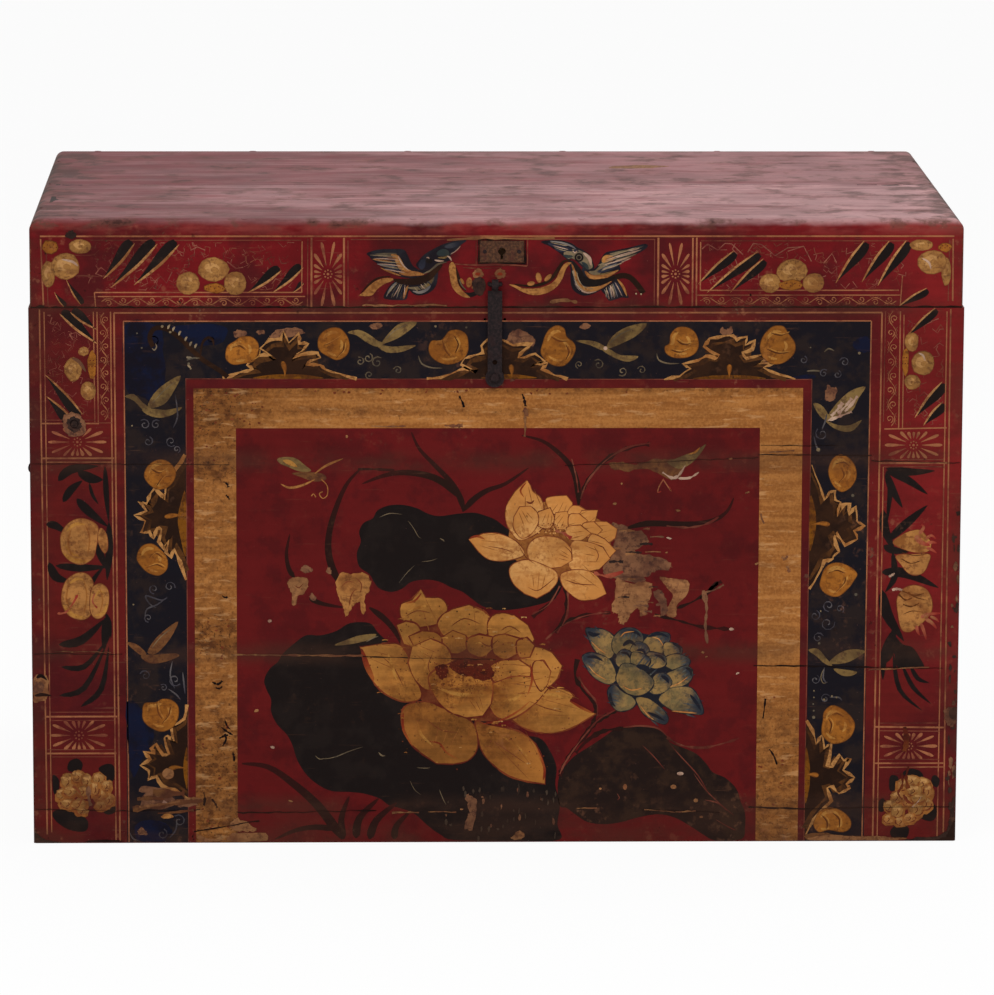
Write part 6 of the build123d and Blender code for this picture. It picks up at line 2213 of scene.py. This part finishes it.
def paint_blue_lotus():
    film = Film("blue_lotus", MOTIF_LEVEL)
    film.soft("blue_line", [
        (92, 180), (104, 188), (124, 190), (148, 184), (164, 172), (172, 152), (166, 132),
        (146, 122), (126, 124), (108, 134), (96, 150), (88, 164),
    ])
    for points, base, tip in (
        ([(79, 193.5), (82, 184), (87, 174), (96, 167), (103, 168), (106, 178), (104, 187),
         (95, 193), (86, 194)], (103, 172), (81, 193)),
        ([(104, 172), (103, 184), (111, 193), (122, 194), (130, 187), (128, 175), (117, 167)],
         (115, 168), (120, 194)),
        ([(128, 176), (133, 186), (142, 190.5), (153, 189), (153, 181), (147, 171), (136, 168)],
         (136, 170), (152, 189)),
        ([(148, 172), (149, 181), (159, 180), (165, 175), (162, 168), (153, 166)], (150, 168),
         (164, 178)),
        ([(120, 178), (126, 182), (134, 178), (136, 168), (126, 163), (117, 166)], (124, 164),
         (132, 180)),
        ([(76, 168), (83, 172), (93, 170), (102, 164), (107, 151), (104, 144), (96, 144), (86, 150),
         (80, 158)], (104, 150), (77, 168)),
        ([(106, 168), (112, 175), (120, 172), (122, 163), (114, 158), (107, 160)], (112, 159),
         (114, 175)),
        ([(150, 168), (160, 171), (169, 168), (172, 163), (166, 156), (156, 156), (149, 161)],
         (152, 160), (172, 168)),
        ([(134, 172), (142, 172), (150, 168), (150, 160), (140, 157), (132, 162)], (138, 158),
         (146, 172)),
        ([(120, 172), (130, 171), (137, 165), (132, 158), (120, 160)], (124, 160), (136, 170)),
        ([(150, 152), (159, 157), (168, 160), (174, 156), (173, 147), (165, 141), (155, 138),
         (148, 143)], (150, 142), (174, 158)),
        ([(144, 130), (151, 138), (162, 141), (173, 140), (180, 131), (184, 117), (174, 116),
         (160, 118), (149, 124)], (146, 128), (183, 120)),
        ([(137, 146), (142, 153), (150, 153), (156, 146), (152, 138), (144, 134), (136, 136)],
         (138, 136), (152, 154)),
        ([(99, 138), (105, 143), (112, 137), (122, 131), (124, 125), (118, 120), (108, 119),
         (101, 127)], (122, 126), (99, 132)),
        ([(124, 131), (134, 131), (146, 123), (153, 113), (150, 107), (140, 110), (131, 116),
         (126, 124)], (124, 130), (151, 109)),
        ([(108, 155), (112, 162), (123, 161), (133, 154), (140, 146), (137, 138), (128, 133),
         (118, 134), (110, 140), (106, 148)], (114, 138), (140, 166)),
    ):
        film.soft("blue_petal", points, (base, tip))
        sides = (-0.3, -0.1, 0.1, 0.3)
        film.veins("blue_vein", base, tip, sides, ((0.5, 0.66, 0.6), (0.86, 1.0, 0.7)), 1.5, "leaf")
        film.ribbon("blue_line", smooth(points, True, 4), 1.0, "worn", True)
    strokes(film, "blue_line", [
        (7, (124, 160), (132, 158), (138, 153)), (4.5, (146, 151), (151, 148), (153, 144)),
        (5, (112, 178), (118, 182), (124, 178)), (4, (134, 186), (144, 189), (152, 186)),
        (5, (81, 191), (86, 188), (92, 189)), (3.6, (80, 168), (88, 168), (95, 164)),
        (4, (101, 136), (102, 128), (106, 123)), (4, (134, 118), (143, 114), (150, 110)),
        (4, (172, 134), (178, 126), (182, 119)), (3.6, (168, 158), (172, 156), (173, 150)),
        (3.4, (140, 170), (146, 168), (150, 163)), (3.4, (156, 180), (162, 177), (163, 171)),
        (3.6, (124, 174), (130, 174), (133, 168)), (3, (118, 191), (124, 190), (128, 186)),
        (3, (110, 172), (116, 171), (119, 166)),
    ], "leaf", 0.75)
    strokes(film, "petal", [
        (1.2, (84, 182), (90, 176), (97, 171)), (1.2, (110, 186), (114, 190), (122, 191)),
        (1.4, (156, 119), (166, 118), (178, 117)), (1.2, (112, 142), (120, 138), (130, 140)),
        (1.0, (82, 160), (88, 153), (98, 147)), (1.0, (138, 186), (144, 184), (148, 178)),
        (1.0, (154, 141), (162, 144), (170, 150)), (1.0, (140, 111), (134, 116), (128, 124)),
    ], "taper")
    film.done()


def paint_frame_stains():
    film = Film("frame_stains", LINE_LEVEL)
    for u0, u1, v0, v1, count in (
        (-264, -200, 376, 408, 26), (-264, -231, 345, 374, 8), (-264, -231, 166, 206, 12),
        (-264, -231, 10, 110, 16), (-200, 120, 404, 408, 24), (233, 266, 10, 150, 10),
    ):
        for _ in range(count):
            u, v = film.chance.uniform(u0, u1), film.chance.uniform(v0, v1)
            reach = film.chance.uniform(0.5, 1.6)
            film.make_room()
            film.shape("umber", ellipse(
                u, v, reach, 0.7 * reach, film.chance.uniform(-30, 30), 6
            ), rough=0.6)
    strokes(film, "crack", [
        (2.2, (-240, 326), (-237, 324), (-236, 321)), (2, (-238, 314), (-236, 312), (-235, 310)),
        (2, (-242, 224), (-239, 222), (-237, 223)), (2, (-251, 146), (-246, 144), (-242, 147)),
        (2, (-248, 141), (-245, 140), (-242, 142)), (1.8, (-243, 105), (-238, 101), (-233, 98)),
        (1.6, (-240, 112), (-238, 106), (-235, 103)), (1.6, (-242, 88), (-239, 94), (-240, 99)),
        (1.6, (-245, 95), (-241, 97), (-237, 98)), (2.2, (-259, 46), (-258, 40), (-259, 34)),
        (1.8, (-252, 40), (-249, 36), (-247, 32)), (2, (-233, 82), (-232, 78), (-232, 74)),
        (1.8, (-33, 402), (-30, 396), (-29, 392)), (2.4, (22, 404), (24, 399), (25, 393)),
        (1.6, (239, 130), (238, 120), (237, 112)), (1.4, (243, 84), (247, 78), (250, 70)),
    ], "worn")
    strokes(film, "filler", [
        (2, (236, 288), (234, 292), (233, 297)), (3, (252, 258), (255, 256), (257, 259)),
        (3, (257, 250), (258, 247), (259, 244)), (3, (-30, 376), (-38, 375.5), (-46, 376)),
        (1.6, (-110, 375.5), (-95, 375), (-80, 375.5)),
    ], "worn")
    film.done()


def paint_joint_cracks():
    film = Film("joint_cracks", WEAR_LEVEL)
    for u0, v0, u1, v1, width, sway in (
        (-408, 341.8, -330, 342.2, 0.5, 0.8), (-330, 342, -235, 341, 0.5, 1.0),
        (230, 349.8, 330, 348.6, 0.8, 0.6), (330, 344, 408, 342, 0.6, 0.8),
        (232, 358, 300, 357.5, 0.6, 0.8), (-408, 172, -330, 171, 0.5, 1),
        (-118, 169, -78, 167.6, 1.0, 0.6), (228, 160, 334, 158.4, 1.2, 0.6),
        (-78, 167.6, 0, 166, 0.5, 0.8), (334, 158.4, 396, 157, 0.5, 0.8),
        (-326, 29, -262, 30, 0.6, 1.0), (-230, 27.6, -190, 27.6, 1.0, 1.2),
        (-122, 29, -106, 29, 1.4, 0.8), (225, 31.5, 276, 29.5, 1.4, 0.8),
        (276, 29.5, 332, 31, 0.5, 1.0), (332, 31, 408, 31, 0.5, 1.0),
        (-408, 31, -326, 29, 0.5, 1.2), (-190, 27.6, -122, 29, 0.5, 1.4),
        (130, 29, 200, 27, 0.5, 1.0), (-268, 10, -210, 20, 1.2, 1.0), (60, 340, 230, 347, 0.4, 1.0),
    ):
        film.worn_line("crack", u0, v0, u1, v1, width, sway)
    for u0, v0, u1, v1, width, sway in (
        (-232, 170.6, -190, 170, 1.3, 0.6), (-190, 170, -118, 169.6, 1.8, 0.8),
        (-46, 27.6, -35, 27.8, 1.2, 1.2), (-92, 27, -68, 27.4, 1.8, 1.2),
        (72, 30.8, 90, 31, 1.0, 0.6), (132, 29.5, 160, 27, 0.8, 0.6),
        (160, 27.2, 178, 28, 1.4, 0.6), (240, 352, 262, 353, 1.4, 0.8),
        (-390, 174, -340, 173, 0.8, 0.8), (330, 156, 384, 158, 1.2, 1.0),
        (-60, 28, -46, 27.8, 0.7, 0.8),
    ):
        film.worn_line("filler", u0, v0, u1, v1, width, sway, 4.0)
    film.done()


def paint_scars_and_seam_shadow():
    film = Film("front_scars", WEAR_LEVEL)
    patches(film, [
        ("bare_tan", 2, (-408, 150), (-402, 153), (-396, 149), (-396, 134), (-402, 129),
         (-408.5, 130)),
        ("bare", 2, (-408.5, 144), (-404, 147), (-399, 143), (-402, 136), (-408.5, 137)),
    ])
    strokes(film, "crack", [
        (3.4, (-406, 150), (-402, 152), (-396.5, 148)),
        (3.2, (-408, 134), (-401, 135), (-393, 134)),
    ], "leaf")
    strokes(film, "filler", [
        (2.2, (25, 392), (24.6, 385), (25, 374), (24.4, 366)),
        (3.4, (23.4, 390), (26, 388), (26, 384)),
    ], "worn")
    patches(film, [
        ("bare_tan", 2, (-236, 7), (-228, 9), (-205, 8), (-206, 1.5), (-236, 1.5)),
        ("bare_tan", 2, (-232, 22), (-224, 20), (-212, 12), (-224, 10), (-236, 14)),
        ("bare_tan", 2, (-265, 8), (-256, 4), (-238, 2), (-262, 1.5)),
        ("crack", 0.6, (-364, 1.5), (-350, 3), (-330, 2), (-345, 0.8)),
        ("brown", 1, (276, 6), (292, 8), (310, 5), (340, 4), (362, 3.4), (362, 1), (310, 1),
         (280, 1)),
    ])
    for u, v in (
        (-212, 120), (-182, 38), (-200, 201), (-30, 30), (208, 193), (214, 153), (230, 252),
        (152, 275), (110, 324), (104, 306), (-132, 366), (150, 262), (183, 172), (186, 168),
        (221, 316), (206, 346), (-198, 87), (160, 300),
    ):
        half_width, half_height = film.chance.uniform(1, 2.6), film.chance.uniform(0.7, 1.5)
        outline = ellipse(u, v, half_width, half_height, film.chance.uniform(-20, 30), 7)
        film.shape("pale" if v % 2 else "bare_tan", outline, rough=0.8)
    # Small marks near the right edge and at the foot: the ink, every how many a bare one comes,
    # where they lie, their half widths and half heights, and how rough they are
    for count, ink, cycle, us, vs, widths, heights, rough in (
        (40, "smudge", 3, (402, 408.5), (20, 300), (0.6, 2.2), (1, 5), 1.4),
        (44, "vein", 4, (-44, 54), (3, 52), (0.5, 1.3), (0.8, 3.4), 0.8),
    ):
        for i in range(count):
            u, v = film.chance.uniform(*us), film.chance.uniform(*vs)
            reach = film.chance.uniform(*widths)
            film.make_room()
            outline = ellipse(u, v, reach, film.chance.uniform(*heights), 0, 7)
            film.shape(ink if i % cycle else "bare", outline, rough=rough)
    patches(film, [
        ("bare", 3, (-26, 42), (-19, 40), (-16, 28), (-20, 12), (-27, 14), (-24, 28)),
        ("bare_tan", 1.6, (14, 4), (22, 10), (26, 5), (20, 2)),
        ("bare", 2.6, (-380, 384), (-371, 388), (-362, 381), (-361, 371), (-371, 366), (-379, 372)),
        ("smudge", 1.8, (-376, 382), (-371, 384), (-365, 380), (-365, 373), (-371, 370),
         (-376, 374)),
    ])
    film.ribbon("crack", ellipse(-370.6, 377.6, 3.4, 3.6, 0, 9), 1.2, "worn", True)
    film.restart(ABOVE_SCATTER)
    strokes(film, "brown", [
        (5, (-322, 31), (-300, 33), (-282, 37), (-260, 38)),
        (3.4, (-318, 40), (-306, 41), (-294, 40)), (2.4, (-300, 27), (-284, 28), (-268, 30)),
        (7, (-304, 46), (-290, 45), (-276, 45)),
    ], "worn")
    strokes(film, "bare_tan", [
        (2.4, (-316, 33), (-298, 35), (-280, 38)), (2, (-276, 40), (-268, 40.6), (-260, 40)),
    ], "worn")
    strokes(film, "heart_red", [
        (4.6, (363, 104), (365, 92), (363, 82)), (3.2, (367, 68), (365, 58), (367, 48)),
        (2.4, (361, 62), (362, 54), (361, 48)),
    ], "worn")
    patches(film, [
        ("bare_tan", 1, (283, 1), (284, 4), (300, 6), (318, 4.4), (340, 4.6), (354, 3), (354, 1)),
        ("smudge", 1.6, (364, 0.6), (378, 3.5), (392, 4), (401, 9), (404, 20), (405.6, 34),
         (408.6, 38), (408.8, 16), (408.6, 0.8), (388, 0.6)),
        ("crack", 1.4, (393, 0.6), (401, 4), (405, 12), (408.6, 20), (408.8, 0.8)),
        ("smudge", 1.2, (-409, 0.6), (-409, 12), (-406, 8), (-400, 3.4), (-386, 0.8)),
        ("bare", 1.6, (398, 118), (403, 122), (408.6, 120), (408.6, 108), (404, 104), (400, 108)),
        ("smudge", 1.0, (402, 119), (408.6, 122), (408.6, 112), (405, 110)),
    ])
    film.done()
    film = Film("lid_front_scars", WEAR_LEVEL, "lid")
    for ring, ink, width in (
        ([(-16.4, 540.4), (24.4, 540.4), (24.4, 519.2), (-16.4, 519.2)], "crack", 1.4),
        ([(-18.4, 542.2), (26.4, 542.2), (26.4, 517.4), (-18.4, 517.4)], "dull_line", 0.9),
    ):
        path = [
            tuple(a + (b - a) * k / 8 for a, b in zip(p, q)) for p,
            q in zip(ring, ring[1:] + ring[:1]) for k in range(8)
        ]
        film.ribbon(ink, path, width, "worn", True)
    film.ragged("smudge", [
        (-376, 546), (-372, 548.5), (-368, 546), (-368, 542), (-372, 540.6), (-376, 542.6),
    ], 1.6)
    for u in (-17, 2.5):
        film.ragged("bare_tan", [
            (u - 4, 512), (u, 515), (u + 4.5, 512), (u + 4, 507.5), (u, 506), (u - 4, 507.5)
        ], 1.2)
        film.ragged("red_tip", [
            (u - 2, 511), (u + 1.8, 511), (u + 1.6, 508.8), (u - 1.8, 508.8)
        ], 0.6)
    strokes(film, "dull_line", [
        (1.4, (-38, 519), (-20, 518), (2, 518.6), (26, 517)),
        (1, (-30, 515.6), (-14, 515), (4, 515.6)),
    ], "worn")
    film.ragged("smudge", [
        (-22, 503), (-18, 507), (-12, 506), (-10, 500), (-12, 493), (-17, 491), (-21, 496),
    ], 2)
    # Dark worn line along the foot of the lid's front: painted shadow in the gap between lid and
    # body
    for u0, u1, width in (
        (-408, -396, 3), (-396, -190, 1.4), (-190, -60, 2.0), (-60, 120, 1.2), (120, 300, 1.6),
        (300, 408, 2.2),
    ):
        film.worn_line("crack", u0, 480.7, u1, 480.7, width, 0.8, 5)
    film.worn_line("bare_tan", -118, 482.4, -60, 482.2, 1.4, 1.0, 4)
    strokes(film, "bare_tan", [
        (2.6, (46, 485), (58, 487), (70, 485)), (2.6, (-44, 540), (-10, 542), (20, 541), (50, 542)),
        (1.6, (-44, 482), (-60, 483), (-76, 482)),
    ], "worn")
    film.done()


def paint_lid_top_wear():
    film = Film("lid_top_wear", GROUND_LEVEL, "top")
    for u0, u1, shift, width in (
        (-404, -392, 2, 4.5), (-390, -372, 0, 5), (-366, -340, 1, 1.6), (334, 352, 1, 3),
        (356, 372, 0, 5), (376, 398, 2, 4), (-320, -250, 1, 0.9), (-180, -60, 0.4, 0.7),
        (20, 90, 1, 0.8), (180, 300, 0.6, 0.8),
    ):
        film.worn_line("crack", u0, TOP_JOINT + shift, u1, TOP_JOINT + shift, width, 2.4, 5)
    patches(film, [
        ("filler", 3, (112, 358), (122, 372), (146, 376), (168, 370), (162, 362), (150, 354),
         (126, 352)),
        ("smudge", 3, (-405, 118), (-398, 152), (-392, 150), (-390, 128), (-398, 112)),
        ("smudge", 3, (-407, 64), (-402, 80), (-396, 72), (-400, 60)),
        ("smudge", 3, (-36, 478), (-20, 484), (4, 483), (14, 478), (-8, 474)),
        ("smudge", 3, (-407, 8), (-402, 30), (-398, 22), (-400, 6)),
    ])
    film.done()


for draw in (
    paint_grounds, paint_borders, paint_rosettes, paint_scrolls, paint_cracked_ice, paint_slashes,
    paint_blossoms, paint_left_lid_bird, paint_right_lid_bird, paint_band_fruits, paint_band_leaves,
    paint_band_swallows, paint_band_curls, paint_left_column, paint_right_column,
    paint_lotus_leaves, paint_reeds_and_stems, paint_small_creatures, paint_buds, paint_cream_lotus,
    paint_ochre_lotus, paint_blue_lotus, paint_frame_stains, paint_joint_cracks, paint_scars_and_seam_shadow,
    paint_lid_top_wear,
):
    draw()
